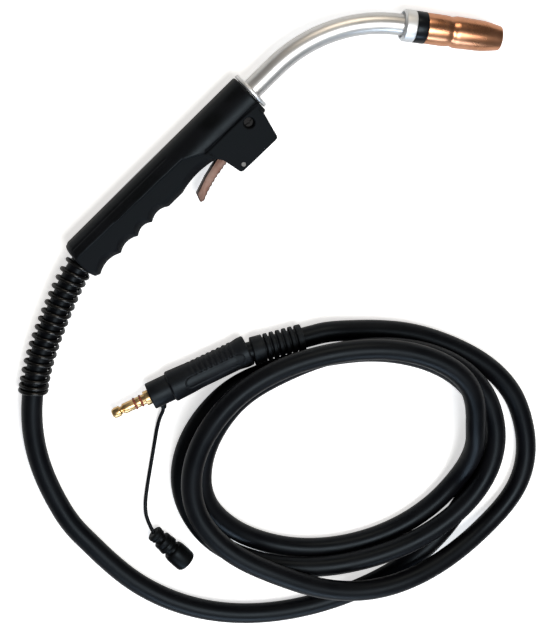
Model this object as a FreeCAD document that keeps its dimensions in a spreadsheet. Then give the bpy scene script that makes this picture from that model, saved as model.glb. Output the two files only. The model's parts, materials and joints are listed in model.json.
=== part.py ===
import FreeCAD, Part
import math
import os
import re
import Sketcher

# A gas metal arc welding torch, laid on its side. While it is being built, X runs along the handle's
# front face towards the nozzle, Y away from the trigger and Z up. X = 0 is the handle's front face and
# Y = 0 the axis of the straight neck. The finished pieces are then moved so that the origin lies under
# the middle of the torch without its cable.

doc = FreeCAD.newDocument("WeldingTorch")
sheet = doc.addObject("Spreadsheet::Sheet", "Sizes")

SIZES = {
    # where the torch lies
    "rest_x": 0, "rest_y": 0, "axis_height": 18,
    # handle
    "handle_length": 189, "handle_radius": 18, "handle_drop": 1.5, "handle_bore": 13,
    "front_wall": 3, "rear_round": 5, "front_edge": 1,
    "spring_pocket": 8, "pocket_wall": 3, "pocket_room": 1.1, "spring_seat": 1.25,
    "grip_thickness": 31, "grip_line_rear": 5.7, "grip_line_front": 3, "grip_line_end": -73.4,
    "finger_depth": 3.4, "cusp_depth": 0.4, "cusp_a": -182.6, "cusp_b": -160.1, "cusp_c": -141,
    "cusp_d": -125.4, "cusp_e": -107.8, "recess_rear": -92, "recess_front": -54, "recess_depth": 2.7,
    "groove_depth": 0.9, "groove_width": 1.1, "groove_a_y": 12, "groove_a_x": -81.6,
    "groove_b_y": 8.6, "groove_b_x": -78.2,
    # trigger housing, which is part of the two handle shells
    "box_thickness": 31, "box_wall": 2.5, "box_rear": -59.6, "box_rear_y": -9, "box_top_y": -5.9,
    "box_notch_x": -51.1, "box_notch_y": -21, "box_low_x": -47.6, "box_low_y": -38.4,
    "box_front_x": -8.2, "box_nose_x": -2.8, "box_nose_y": -16.7, "box_round": 3,
    "slot_width": 10, "slot_end": -38, "slot_top_y": -16, "seam_width": 1.4, "seam_depth": 1.4,
    # screw that closes the housing
    "screw_x": -16.3, "screw_y": -14, "screw_recess": 4.5, "screw_head": 3.6, "screw_shank": 1.7,
    "screw_boss": 5.4, "recess_deep": 4.5, "head_high": 2.6, "socket_across": 3,
    # trigger
    "pivot_x": -42, "pivot_y": -34.6, "pivot_radius": 1.75, "hub_radius": 3.2, "trigger_thick": 9,
    "nose_x": -43.5, "nose_y": -20, "nose_radius": 2, "pin_inset": 0.2,
    # switch
    "switch_x": -38.3, "switch_y": -26, "switch_long": 16.5, "switch_high": 11, "switch_thick": 6.4,
    "plunger_radius": 1.6, "plunger_long": 4.6, "plunger_gap": 0.1, "plunger_hole": 4,
    "lead_radius": 0.8, "lead_spread": 1.4,
    # fits
    "running": 0.05, "easy": 0.15,
    # neck
    "neck_radius": 8.5, "neck_wall": 1.5, "neck_inside": 34, "neck_straight": 28,
    "neck_bend_radius": 120, "neck_bend": 52, "neck_end": 13,
    "sleeve_wall": 1.3, "conductor_wall": 2.6, "liner_radius": 2.2, "liner_bore": 1.1,
    "collar_radius": 16.5, "collar_thick": 2.8, "collar_start": 0.8, "collar_seat": 12,
    # nozzle end, measured along the bent end of the neck
    "ring_start": 2, "ring_end": 12, "ring_radius": 12.75, "ring_dish": 2.5, "ring_dish_radius": 9.6,
    "insulator_radius": 12.6, "insulator_end": 21, "spigot_radius": 10.4, "spigot_end": 34,
    "nozzle_length": 62.5, "nozzle_rear_radius": 12.3, "nozzle_groove_radius": 11.7,
    "nozzle_front_radius": 12.6, "nozzle_shoulder_radius": 12.1, "nozzle_mouth_radius": 9.6,
    "nozzle_groove_at": 21.3, "nozzle_front_at": 25, "nozzle_shoulder_at": 48, "nozzle_wall": 1.7,
    "diffuser_radius": 7.4, "diffuser_end": 36, "gas_hole": 1.1, "gas_holes": 6,
    "tip_radius": 4, "tip_thread": 3, "tip_start": 28, "tip_end": 77, "tip_nose": 2.5, "tip_bore": 0.7,
    # inside the handle
    "block_start": -74, "block_end": -27, "block_radius": 10.4, "nut_start": -92, "nut_across": 16,
    "crimp_start": -118, "crimp_radius": 6.4, "cable_start": -158,
    # cable, spring and coil
    "cable_radius": 8.6, "spring_wire": 3.4, "spring_radius": 10.55, "spring_pitch": 7.25,
    "spring_turns": 17.5, "closed_turns": 2.1, "closed_pitch": 4.2, "spring_phase": 0.39,
    "coil_x": -140, "coil_y": -288, "coil_tilt": -33, "coil_aspect": 1.37, "coil_layer": 17.8,
    "floor_gap": 0.05,
    # connector, measured from the front face of its collar towards the pin
    "plug_x": -229.4, "plug_y": -123.2, "plug_z": 13.3, "plug_turn": 160,
    "pin_radius": 4.4, "pin_long": 34, "pin_bore": 1.6, "pin_inside": 30, "hex_across": 11.4,
    "hex_long": 4.5, "seal_a": 8, "seal_b": 13.4, "seal_wire": 0.9, "seal_groove": 3.55,
    "neck_groove": 3, "head_long": 7,
    "front_collar_radius": 11.3, "front_collar_long": 18, "shell_radius": 13.2, "shell_waist": 11.8,
    "shell_rear": 13, "shell_long": 89, "shell_bore": 8.7, "shell_mouth": 11.25, "shell_rib": 0.8,
    "shell_ribs": 9, "shell_rib_pitch": 4.6,
    # the cable bends in the rear of the connector, and the rubber tail is measured from that bend's end
    "bend_start": -68, "bend_radius": 94, "tail_bend": 11, "tail_start": -5.8, "tail_collar": 9.8,
    "tail_rings": 5, "tail_radius": 12, "tail_core": 9.2, "tail_ring": 3.7, "tail_pitch": 5.3,
    "tail_gap": 1.4, "tail_lip": 5.2, "tail_lead": 6,
    # control lead and its plug
    "thin_radius": 1.6, "boot_start": 0.1, "boot_radius": 3, "boot_long": 5,
    "small_x": -312, "small_y": -212, "small_z": 9.7, "small_nut": 6.3,
    "small_nut_long": 6, "small_collar": 7.3, "small_collar_long": 4, "small_body": 8.4,
    "small_body_end": 28, "small_ring": 9.6, "small_ring_start": 23, "small_ring_end": 40,
    "small_socket": 7.6, "small_core": 5, "small_core_end": 27.5, "contact_radius": 0.9,
}
for row, (word, number) in enumerate(SIZES.items(), 1):
    sheet.set("A%d" % row, word.replace("_", " "))
    sheet.set("B%d" % row, str(number))
    sheet.setAlias("B%d" % row, word)
doc.recompute()

SIZE_WORD = re.compile(r"\b(%s)\b" % "|".join(SIZES))
AXIS = "rest_y", "axis_height"


def tied(text):
    """An expression in the words of the sheet, as another object of the document writes it."""
    return SIZE_WORD.sub(r"Sizes.\1", text)


def size(text):
    """The present value of an expression in the words of the sheet."""
    return float(sheet.evalExpression(text))


def vector(x, y, z=0.0):
    return FreeCAD.Vector(x, y, z)


def bind(thing, **properties):
    for name, text in properties.items():
        thing.setExpression(name.replace("__", "."), tied(text))
    return thing


def lay(thing, x="rest_x", y="rest_y", z="0", turn=None):
    """Puts a piece in its place, turned about Z by an angle in degrees."""
    if turn is not None:
        thing.Placement = FreeCAD.Placement(vector(0, 0), FreeCAD.Rotation(vector(0, 0, 1), size(turn)))
        bind(thing, Placement__Rotation__Angle=turn)
    return bind(thing, Placement__Base__x=x, Placement__Base__y=y, Placement__Base__z=z)


def new_body(label):
    body = doc.addObject("PartDesign::Body", label)
    body.Label = label
    return body


def plane(body, role):
    return [feature for feature in body.Origin.OriginFeatures if feature.Role == role][0]


def outline(body, corners, level="0"):
    """A closed outline of straight lines on the XY plane, each corner tied to the sheet."""
    sketch = body.newObject("Sketcher::SketchObject", body.Label + "_outline")
    sketch.AttachmentSupport = [(plane(body, "XY_Plane"), "")]
    sketch.MapMode = "FlatFace"
    bind(sketch, AttachmentOffset__Base__z=level)
    spots = [vector(size(x), size(y)) for x, y in corners]
    for spot, following in zip(spots, spots[1:] + spots[:1]):
        sketch.addGeometry(Part.LineSegment(spot, following))
    for number, (corner, spot) in enumerate(zip(corners, spots)):
        sketch.addConstraint(Sketcher.Constraint("Coincident", number, 2, (number + 1) % len(spots), 1))
        for kind, text, value in (("DistanceX", corner[0], spot.x), ("DistanceY", corner[1], spot.y)):
            index = sketch.addConstraint(Sketcher.Constraint(kind, -1, 1, number, 1, value))
            sketch.setExpression("Constraints[%d]" % index, tied(text))
    return sketch


def turned(label, corners):
    """A piece turned on a lathe: corners are pairs of place along X and radius."""
    body = new_body(label)
    sketch = outline(body, corners)
    turn = body.newObject("PartDesign::Revolution", label + "_turn")
    turn.Profile = sketch
    turn.ReferenceAxis = (sketch, ["H_Axis"])
    turn.Angle = 360
    return body


def plate(label, corners, level, thick, rounding=None, below="0"):
    """A flat piece: its outline, the height of its lower face and its thickness. Its upright edges
    that lie below a place along Y can be rounded."""
    body = new_body(label)
    sketch = outline(body, corners, level)
    pad = body.newObject("PartDesign::Pad", label + "_pad")
    pad.Profile = sketch
    bind(pad, Length=thick)
    if rounding:
        doc.recompute()
        upright = ["Edge%d" % number for number, edge in enumerate(pad.Shape.Edges, 1)
                   if abs(edge.tangentAt(edge.FirstParameter).z) > 0.99
                   and edge.Vertexes[0].Y < size(below)]
        fillet = body.newObject("PartDesign::Fillet", label + "_round")
        fillet.Base = (pad, upright)
        bind(fillet, Radius=rounding)
    return body


def upright_cylinder(label, x, y, radius, low, high):
    piece = doc.addObject("Part::Cylinder", label)
    bind(piece, Radius=radius, Height="(%s) - (%s)" % (high, low))
    return lay(piece, x, y, low)


def block(label, x, y, z, long, wide, high):
    piece = doc.addObject("Part::Box", label)
    bind(piece, Length=long, Width=wide, Height=high)
    return lay(piece, x, y, z)


def along_x(label, x, y, z, radius, long):
    piece = doc.addObject("Part::Cylinder", label)
    piece.Placement = FreeCAD.Placement(vector(0, 0), FreeCAD.Rotation(vector(0, 1, 0), 90))
    bind(piece, Radius=radius, Height=long)
    return lay(piece, x, y, z)


def joined(label, *pieces):
    whole = doc.addObject("Part::MultiFuse", label)
    whole.Shapes = list(pieces)
    return whole


def cut(label, base, *tools):
    rest = doc.addObject("Part::Cut", label)
    rest.Base = base
    rest.Tool = tools[0] if len(tools) == 1 else joined(label + "_cutters", *tools)
    return rest


def common(label, base, tool):
    part = doc.addObject("Part::Common", label)
    part.Base = base
    part.Tool = tool
    return part


def from_shape(label, shape):
    piece = doc.addObject("Part::Feature", label)
    piece.Shape = shape
    return piece


PIECES = []
CORD_LABELS = []


def keep(piece, cord=False):
    PIECES.append(piece)
    if cord:
        CORD_LABELS.append(piece.Label)
    return piece


# Handle: one moulding that is then split along its middle plane into a left and a right shell.
LOW_SIDE = "axis_height - box_thickness / 2"
BARREL_Y = "-handle_drop"
UNDERSIDE = "-handle_drop - handle_radius"


def handle_moulding():
    barrel = lay(turned("handle_barrel", [
        ("-handle_length", "0"), ("-handle_length", "handle_radius - rear_round"),
        ("-handle_length + rear_round * 0.3", "handle_radius - rear_round * 0.3"),
        ("-handle_length + rear_round", "handle_radius"), ("-front_edge", "handle_radius"),
        ("0", "handle_radius - front_edge"), ("0", "0")]), "0", BARREL_Y, "axis_height")
    housing = plate("trigger_housing", [
        ("box_rear + 1.4", "box_top_y"), ("box_rear", "box_rear_y"), ("box_notch_x", "box_notch_y"),
        ("box_low_x", "box_low_y"), ("box_front_x", "box_low_y - 0.6"),
        ("box_nose_x", "box_nose_y"), ("box_nose_x - 2.2", "box_top_y")],
        LOW_SIDE, "box_thickness", "box_round", "box_rear_y - 2")
    grip = barrel
    for space in finger_valleys():
        grip = cut("grip_without_" + space.Label, grip, space)
    return joined("handle_solid", grip, housing)


def grip_flats():
    """What is taken off the two sides of the grip, below the edge of the smooth front shell."""
    corners = [("-handle_length - 1", "grip_line_rear"), ("grip_line_end", "grip_line_front"),
               ("box_rear + 1.4", "box_top_y"), ("1", "box_top_y"), ("1", UNDERSIDE + " - 30"),
               ("-handle_length - 1", UNDERSIDE + " - 30")]
    return [plate("grip_flat_right", corners, "axis_height + grip_thickness / 2", "handle_radius"),
            plate("grip_flat_left", corners, "axis_height - grip_thickness / 2 - handle_radius",
                  "handle_radius")]


def valley(label, rear, front, depth, rise):
    """The space of a finger between two places along the grip. It is deepest under the grip and runs
    out on its two sides, and it rises by so much at its two ends."""
    radius = "(((%s - %s) ^ 2) / 4 + (%s) ^ 2) / (2 * (%s))" % (front, rear, rise, rise)
    ring = doc.addObject("Part::Torus", label)
    ring.Placement = FreeCAD.Placement(vector(0, 0), FreeCAD.Rotation(vector(0, 1, 0), 90))
    bind(ring, Radius1="handle_radius + " + radius, Radius2=radius)
    return lay(ring, "(%s + %s) / 2" % (rear, front), "%s + %s" % (BARREL_Y, depth), "axis_height")


def finger_valleys():
    cusps = ["cusp_a", "cusp_b", "cusp_c", "cusp_d", "cusp_e"]
    valleys = [valley("valley_" + rear[-1], rear, front, "finger_depth", "finger_depth - cusp_depth")
               for rear, front in zip(cusps, cusps[1:])]
    return valleys + [valley("index_recess", "recess_rear", "recess_front", "recess_depth",
                             "recess_depth")]


def back_grooves():
    """Two long shallow grooves on each side of the back, one starting behind the other."""
    grooves = []
    for word in ("a", "b"):
        rise = "sqrt(handle_radius ^ 2 - (groove_%s_y + handle_drop) ^ 2)" % word
        for side, low in (("right", "axis_height + %s - groove_depth" % rise),
                          ("left", "axis_height - %s - handle_radius + groove_depth" % rise)):
            grooves.append(block("groove_%s_%s" % (word, side), "-handle_length - 1",
                                 "groove_%s_y - groove_width / 2" % word, low,
                                 "handle_length + 1 + groove_%s_x" % word, "groove_width",
                                 "handle_radius"))
    return grooves


def housing_seams():
    """The long groove on each side between the barrel and the trigger housing."""
    return [block("housing_seam_" + side, "box_rear + 1.4", "box_top_y - seam_width", low, "-box_rear",
                  "seam_width", "handle_radius")
            for side, low in (("right", "axis_height + grip_thickness / 2 - seam_depth"),
                              ("left", "axis_height - grip_thickness / 2 + seam_depth - handle_radius"))]


def handle_hollow():
    pocket_end = "-handle_length + spring_pocket"
    bore = lay(turned("handle_hollow", [
        ("-handle_length - 1", "0"),
        ("-handle_length - 1", "spring_radius + spring_wire / 2 + pocket_room"),
        (pocket_end, "spring_radius + spring_wire / 2 + pocket_room"),
        (pocket_end, "cable_radius + pocket_room"),
        (pocket_end + " + pocket_wall", "cable_radius + pocket_room"),
        (pocket_end + " + pocket_wall", "handle_bore"), ("-front_wall", "handle_bore"),
        ("-front_wall", "0")]), "0", BARREL_Y, "axis_height")
    mouth = along_x("neck_mouth", "-front_wall - 1", "0", "axis_height", "neck_radius + running",
                    "front_wall + 2")
    chamber = plate("housing_chamber", [
        ("box_rear + box_wall + 2.5", "box_top_y"), ("box_rear + box_wall + 1", "box_rear_y"),
        ("box_notch_x + box_wall", "box_notch_y"), ("box_low_x + box_wall", "box_low_y + box_wall"),
        ("box_front_x - box_wall", "box_low_y + box_wall"),
        ("box_nose_x - box_wall", "box_nose_y"), ("box_nose_x - box_wall - 2.2", "box_top_y")],
        LOW_SIDE + " + box_wall", "box_thickness - 2 * box_wall")
    return joined("handle_space", bore, mouth, chamber)


def handle_supports():
    """The boss round the closing screw, two ribs that hold the switch and one round the neck block."""
    boss = upright_cylinder("screw_boss_blank", "screw_x", "screw_y", "screw_boss",
                            LOW_SIDE + " + 1", "axis_height + box_thickness / 2 - 1")
    rib = block("switch_rib", "switch_x + 3", "switch_y + 2", LOW_SIDE + " + 1", "switch_long - 6",
                "switch_high - 4", "box_thickness - 2")
    room = block("switch_room", "switch_x", "switch_y", "axis_height - switch_thick / 2",
                 "switch_long", "switch_high", "switch_thick")
    ring = lay(turned("block_ring_blank", [
        ("block_start + 8", "block_radius + easy + handle_drop"), ("block_start + 8", "handle_bore + 1"),
        ("block_start + 12", "handle_bore + 1"),
        ("block_start + 12", "block_radius + easy + handle_drop")]), "0", BARREL_Y, "axis_height")
    return joined("handle_supports", boss, cut("switch_ribs", rib, room), ring)


def handle_openings():
    slot = plate("trigger_slot", [
        ("box_rear - 4", "slot_top_y"), ("slot_end - 8", "slot_top_y"), ("slot_end", "box_low_y + 8"),
        ("slot_end", "box_low_y - 4"), ("box_rear - 4", "box_low_y - 4")],
        "axis_height - slot_width / 2", "slot_width")
    recess = upright_cylinder("screw_recess_hole", "screw_x", "screw_y", "screw_recess",
                              "axis_height + box_thickness / 2 - recess_deep",
                              "axis_height + box_thickness / 2 + 1")
    seat = upright_cylinder("screw_seat_hole", "screw_x", "screw_y", "screw_head + running",
                            "axis_height + box_thickness / 2 - recess_deep - head_high",
                            "axis_height + box_thickness / 2")
    shank = upright_cylinder("screw_shank_hole", "screw_x", "screw_y", "screw_shank + running",
                             LOW_SIDE + " + 2", "axis_height + box_thickness / 2")
    pin_hole = upright_cylinder("pivot_hole", "pivot_x", "pivot_y", "pivot_radius + running / 5",
                                LOW_SIDE + " - 1", "axis_height + box_thickness / 2 + 1")
    return [slot, recess, seat, shank, pin_hole]


def handle_shells():
    hollowed = cut("handle_shell_pair", handle_moulding(), handle_hollow(), *grip_flats(),
                   *back_grooves(), *housing_seams())
    fitted = cut("handle_fitted", joined("handle_with_supports", hollowed, handle_supports()),
                 *handle_openings())
    half = block("right_side_space", "-handle_length - 5", "-80", "axis_height",
                 "handle_length + 10", "120", "60")
    keep(lay(common("handle_shell_right", fitted, half)))
    keep(lay(cut("handle_shell_left", fitted, half)))


handle_shells()


def housing_screw():
    top = "axis_height + box_thickness / 2 - recess_deep"
    head = upright_cylinder("screw_head_blank", "screw_x", "screw_y", "screw_head",
                            top + " - head_high", top)
    shank = upright_cylinder("screw_shank_blank", "screw_x", "screw_y", "screw_shank",
                             LOW_SIDE + " + 3", top + " - head_high / 2")
    socket = block("screw_slot", "screw_x - screw_head", "screw_y - 0.5", top + " - 1.2",
                   "screw_head * 2", "1", "2")
    cross = block("screw_cross_slot", "screw_x - 0.5", "screw_y - socket_across / 2", top + " - 1.2",
                  "1", "socket_across", "2")
    keep(lay(cut("housing_screw", joined("screw_blank", head, shank), socket, cross)))


housing_screw()


# Trigger: a lever on a cross pin, whose nose presses the plunger of the switch.
def trigger_group():
    low = "axis_height - trigger_thick / 2"
    high = "axis_height + trigger_thick / 2"
    lever = plate("trigger_blank", [
        ("-84.9", "-28.1"), ("-70.1", "-23"), ("-54.5", "-19.3"), ("nose_x - 3", "nose_y + 1.6"),
        ("nose_x + 1", "nose_y + 1.2"), ("pivot_x + hub_radius - 0.4", "pivot_y + 8"),
        ("pivot_x + hub_radius", "pivot_y"), ("pivot_x - hub_radius", "pivot_y"),
        ("-50.2", "-26.2"), ("-65.1", "-28.8"), ("-76.9", "-32.2"), ("-85.1", "-35.6"),
        ("-87.4", "-34.7")], low, "trigger_thick")
    hub = upright_cylinder("trigger_hub", "pivot_x", "pivot_y", "hub_radius", low, high)
    nose = upright_cylinder("trigger_nose", "nose_x", "nose_y", "nose_radius", low, high)
    hole = upright_cylinder("trigger_hole", "pivot_x", "pivot_y", "pivot_radius + running",
                            low + " - 1", high + " + 1")
    keep(lay(cut("trigger_lever", joined("trigger_solid", lever, hub, nose), hole)))
    keep(lay(joined("trigger_pivot_pin", upright_cylinder(
        "pivot_pin_blank", "pivot_x", "pivot_y", "pivot_radius", LOW_SIDE + " + pin_inset",
        "axis_height + box_thickness / 2 - pin_inset"), upright_cylinder(
        "pivot_pin_middle", "pivot_x", "pivot_y", "pivot_radius", low, high))))


def switch_group():
    tip = "nose_x + nose_radius + plunger_gap"
    case = block("switch_case_blank", "switch_x", "switch_y", "axis_height - switch_thick / 2",
                 "switch_long", "switch_high", "switch_thick")
    hole = along_x("plunger_hole_space", "switch_x - 1", "nose_y", "axis_height",
                   "plunger_radius + running", "plunger_hole + 1")
    keep(lay(cut("trigger_switch", case, hole)))
    plunger = along_x("switch_plunger_blank", tip, "nose_y", "axis_height", "plunger_radius",
                      "plunger_long")
    dent = along_x("switch_plunger_rim", tip + " + plunger_long - 0.6", "nose_y", "axis_height",
                   "plunger_radius - 0.3", "0.6")
    keep(lay(joined("switch_plunger", plunger, dent)))


trigger_group()
switch_group()


# Neck: an outer tube, an insulating sleeve, a conductor and the wire liner, all bent alike.
def bent_tube(label, outer, inner, start):
    """A tube along the neck's path, from a place behind the handle's front face to the neck's end."""
    body = new_body(label)
    path = body.newObject("Sketcher::SketchObject", label + "_path")
    path.AttachmentSupport = [(plane(body, "XY_Plane"), "")]
    path.MapMode = "FlatFace"
    radius = size("neck_bend_radius")
    angle = math.radians(size("neck_bend"))
    first, bend = vector(size(start), 0), vector(size("neck_straight"), 0)
    centre = vector(bend.x, -radius)
    end = vector(bend.x + radius * math.sin(angle), -radius * (1 - math.cos(angle)))
    last = end + vector(math.cos(angle), -math.sin(angle)) * size("neck_end")
    circle = Part.Circle(centre, vector(0, 0, 1), radius)
    path.addGeometry(Part.LineSegment(first, bend))
    path.addGeometry(Part.ArcOfCircle(circle, math.pi / 2 - angle, math.pi / 2))
    path.addGeometry(Part.LineSegment(end, last))
    path.addConstraint(Sketcher.Constraint("PointOnObject", 0, 1, -1))
    path.addConstraint(Sketcher.Constraint("Horizontal", 0))
    path.addConstraint(Sketcher.Constraint("Tangent", 0, 2, 1, 2))
    path.addConstraint(Sketcher.Constraint("Tangent", 1, 1, 2, 1))
    for kind, ends, text in (("DistanceX", (-1, 1, 0, 1), start),
                             ("DistanceX", (-1, 1, 0, 2), "neck_straight"),
                             ("Radius", (1,), "neck_bend_radius"),
                             ("Distance", (2,), "neck_end"),
                             ("Angle", (2,), "-neck_bend * 1 deg")):
        value = -angle if kind == "Angle" else size(text)
        index = path.addConstraint(Sketcher.Constraint(kind, *ends, value))
        path.setExpression("Constraints[%d]" % index, tied(text))
    section = body.newObject("Sketcher::SketchObject", label + "_section")
    section.AttachmentSupport = [(plane(body, "YZ_Plane"), "")]
    section.MapMode = "FlatFace"
    bind(section, AttachmentOffset__Base__z=start)
    for number, text in enumerate((outer, inner)):
        section.addGeometry(Part.Circle(vector(0, 0), vector(0, 0, 1), size(text)))
        section.addConstraint(Sketcher.Constraint("Coincident", number, 3, -1, 1))
        index = section.addConstraint(Sketcher.Constraint("Radius", number, size(text)))
        section.setExpression("Constraints[%d]" % index, tied(text))
    pipe = body.newObject("PartDesign::AdditivePipe", label + "_pipe")
    pipe.Profile = section
    pipe.Spine = path
    return keep(lay(body, "rest_x", *AXIS))


SLEEVE_OUT = "neck_radius - neck_wall - easy"
CONDUCTOR_OUT = SLEEVE_OUT + " - sleeve_wall - easy"
bent_tube("swan_neck_tube", "neck_radius", "neck_radius - neck_wall", "-neck_inside")
bent_tube("neck_insulating_sleeve", SLEEVE_OUT, SLEEVE_OUT + " - sleeve_wall", "-neck_inside")
bent_tube("neck_conductor_tube", CONDUCTOR_OUT, CONDUCTOR_OUT + " - conductor_wall", "-neck_inside")
bent_tube("wire_liner", "liner_radius", "liner_bore", "crimp_start")
keep(lay(turned("front_collar", [
    ("0", "neck_radius + running"), ("0", "collar_seat"), ("collar_start", "collar_seat"),
    ("collar_start", "collar_radius - 0.4"), ("collar_start + 0.4", "collar_radius"),
    ("collar_start + collar_thick - 0.8", "collar_radius"),
    ("collar_start + collar_thick", "collar_radius - 0.8"),
    ("collar_start + collar_thick", "neck_radius + running")]), "rest_x", *AXIS))

# The nozzle end: its pieces share the frame of the neck's bent end, where x is measured from the bend.
BEND_X = "neck_straight + neck_bend_radius * sin(neck_bend * 1 deg)"
BEND_Y = "-neck_bend_radius * (1 - cos(neck_bend * 1 deg))"


def on_neck_end(piece):
    return keep(lay(piece, "rest_x + " + BEND_X, "rest_y + " + BEND_Y, "axis_height", "-neck_bend"))


on_neck_end(turned("nozzle_lock_ring", [
    ("ring_start + ring_dish", "neck_radius + running"),
    ("ring_start + ring_dish", "ring_dish_radius"), ("ring_start", "ring_dish_radius + 0.8"),
    ("ring_start", "ring_radius - 1.6"),
    ("ring_start + 1.6", "ring_radius"), ("ring_end - 0.5", "ring_radius"),
    ("ring_end", "ring_radius - 0.5"), ("ring_end", "neck_radius + running")]))
on_neck_end(turned("nozzle_insulator", [
    ("ring_end", "neck_radius + running"), ("ring_end", "insulator_radius"),
    ("insulator_end", "insulator_radius"), ("insulator_end", "spigot_radius"),
    ("spigot_end", "spigot_radius"), ("spigot_end", "diffuser_radius + easy"),
    ("neck_end", "diffuser_radius + easy"), ("neck_end", "neck_radius + running")]))
NOZZLE = "insulator_end + 0.05"
on_neck_end(turned("gas_nozzle", [
    (NOZZLE, "spigot_radius + running"), (NOZZLE, "nozzle_rear_radius - 0.6"),
    (NOZZLE + " + 0.6", "nozzle_rear_radius"),
    (NOZZLE + " + nozzle_groove_at - 5", "nozzle_rear_radius"),
    (NOZZLE + " + nozzle_groove_at - 1.2", "nozzle_groove_radius"),
    (NOZZLE + " + nozzle_groove_at + 1.2", "nozzle_groove_radius"),
    (NOZZLE + " + nozzle_front_at", "nozzle_front_radius"),
    (NOZZLE + " + nozzle_shoulder_at", "nozzle_shoulder_radius"),
    (NOZZLE + " + nozzle_length - 0.5", "nozzle_mouth_radius"),
    (NOZZLE + " + nozzle_length", "nozzle_mouth_radius - 0.5"),
    (NOZZLE + " + nozzle_length", "nozzle_mouth_radius - nozzle_wall"),
    (NOZZLE + " + nozzle_shoulder_at", "spigot_radius - 0.4"),
    ("spigot_end + 1", "spigot_radius + running")]))


def diffuser():
    body = turned("gas_diffuser_blank", [
        ("neck_end + running", "liner_radius + easy"), ("neck_end + running", "diffuser_radius"),
        ("spigot_end - 2", "diffuser_radius"), ("diffuser_end", "diffuser_radius - 2"),
        ("diffuser_end", "tip_thread + running"), ("tip_start - running", "tip_thread + running"),
        ("tip_start - running", "liner_radius + easy")])
    holes = []
    for number in range(int(size("gas_holes"))):
        hole = doc.addObject("Part::Cylinder", "gas_hole_%d" % (number + 1))
        bind(hole, Radius="gas_hole", Height="diffuser_radius + 2")
        turn = FreeCAD.Rotation(vector(1, 0, 0), 360 * number / size("gas_holes"))
        hole.Placement = FreeCAD.Placement(vector(size("tip_start") - 4, 0), turn)
        bind(hole, Placement__Base__x="tip_start - 4")
        holes.append(hole)
    on_neck_end(cut("gas_diffuser", body, *holes))


diffuser()
on_neck_end(turned("contact_tip", [
    ("tip_start", "tip_bore"), ("tip_start", "tip_thread"), ("diffuser_end + running", "tip_thread"),
    ("diffuser_end + running", "tip_radius"), ("tip_end - 6", "tip_radius"),
    ("tip_end", "tip_nose"), ("tip_end", "tip_bore")]))

# Inside the handle: the block that grips the neck, the union nut and the crimped end of the cable.
keep(lay(cut("neck_block", turned("neck_block_blank", [
    ("block_start", "liner_radius + easy"), ("block_start", "block_radius"),
    ("block_end", "block_radius"), ("block_end", "neck_radius + running"),
    ("-neck_inside", "neck_radius + running"), ("-neck_inside", "liner_radius + easy")]),
    block("neck_block_flat", "block_end - 20", "-block_radius - 1", "-block_radius", "21",
          "1.6", "block_radius * 2")), "rest_x", *AXIS))


def union_nut():
    nut = doc.addObject("Part::Prism", "union_nut_blank")
    nut.Polygon = 6
    nut.Placement = FreeCAD.Placement(vector(0, 0), FreeCAD.Rotation(vector(0, 1, 0), 90))
    bind(nut, Circumradius="nut_across / sqrt(3)", Height="block_start - nut_start")
    lay(nut, "nut_start", "0", "0")
    bore = along_x("union_nut_bore", "nut_start - 1", "0", "0", "crimp_radius - 1.5",
                   "block_start - nut_start + 2")
    keep(lay(cut("union_nut", nut, bore), "rest_x", *AXIS))


union_nut()
keep(lay(turned("cable_crimp_sleeve", [
    ("crimp_start", "liner_radius + easy"), ("crimp_start", "crimp_radius"),
    ("nut_start", "crimp_radius"), ("nut_start", "crimp_radius - 1.6"),
    ("block_start", "crimp_radius - 1.6"), ("block_start", "liner_radius + easy")]), "rest_x", *AXIS))
keep(lay(turned("cable_end_in_handle", [
    ("cable_start", "0"), ("cable_start", "cable_radius"), ("crimp_start", "cable_radius"),
    ("crimp_start", "0")]), "rest_x", "rest_y - handle_drop", "axis_height"))


# Cords, which follow straight runs joined by arcs or, in the coil and the spring, pairs of arcs.
def tangent_arc(start, corner, end):
    """The arc that leaves start and reaches end along the lines that meet at corner."""
    half = (start + end) * 0.5 - corner
    reach = (start - corner).Length
    straight = (corner - start).getAngle(end - corner)
    if straight < 1e-4:
        return Part.LineSegment(start, end).toShape()
    radius = reach / math.tan(straight / 2)
    centre = corner + half.normalize() * math.hypot(radius, reach)
    return Part.Arc(start, centre + (corner - centre).normalize() * radius, end).toShape()


def rounded_route(points, label):
    """Edges of a route: each corner is rounded as much as the runs beside it allow."""
    edges, radii, last = [], [], points[0]
    for before, corner, after in zip(points, points[1:], points[2:]):
        back, ahead = before - corner, after - corner
        reach = 0.45 * min(back.Length, ahead.Length)
        turn = (back * -1).getAngle(ahead)
        radii.append(reach / math.tan(turn / 2))
        start, end = corner + back.normalize() * reach, corner + ahead.normalize() * reach
        edges.append(Part.LineSegment(last, start).toShape())
        edges.append(tangent_arc(start, corner, end))
        last = end
    edges.append(Part.LineSegment(last, points[-1]).toShape())
    print(label, "bend radii", [round(radius) for radius in radii])
    return edges


def pipe(edges, radius):
    """A round solid along edges that join smoothly."""
    start = edges[0].valueAt(edges[0].FirstParameter)
    ahead = edges[0].tangentAt(edges[0].FirstParameter)
    section = Part.Wire(Part.Circle(start, ahead, radius).toShape())
    return Part.Wire(edges).makePipeShell([section], True, False)


def cord_piece(label, edges, radius):
    shape = pipe(edges, radius)
    length = sum(edge.Length for edge in edges)
    print(label, "length %.0f" % length, "volume over section times length %.4f"
          % (shape.Volume / (math.pi * radius ** 2 * length)))
    return keep(from_shape(label, shape), cord=True)


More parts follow.
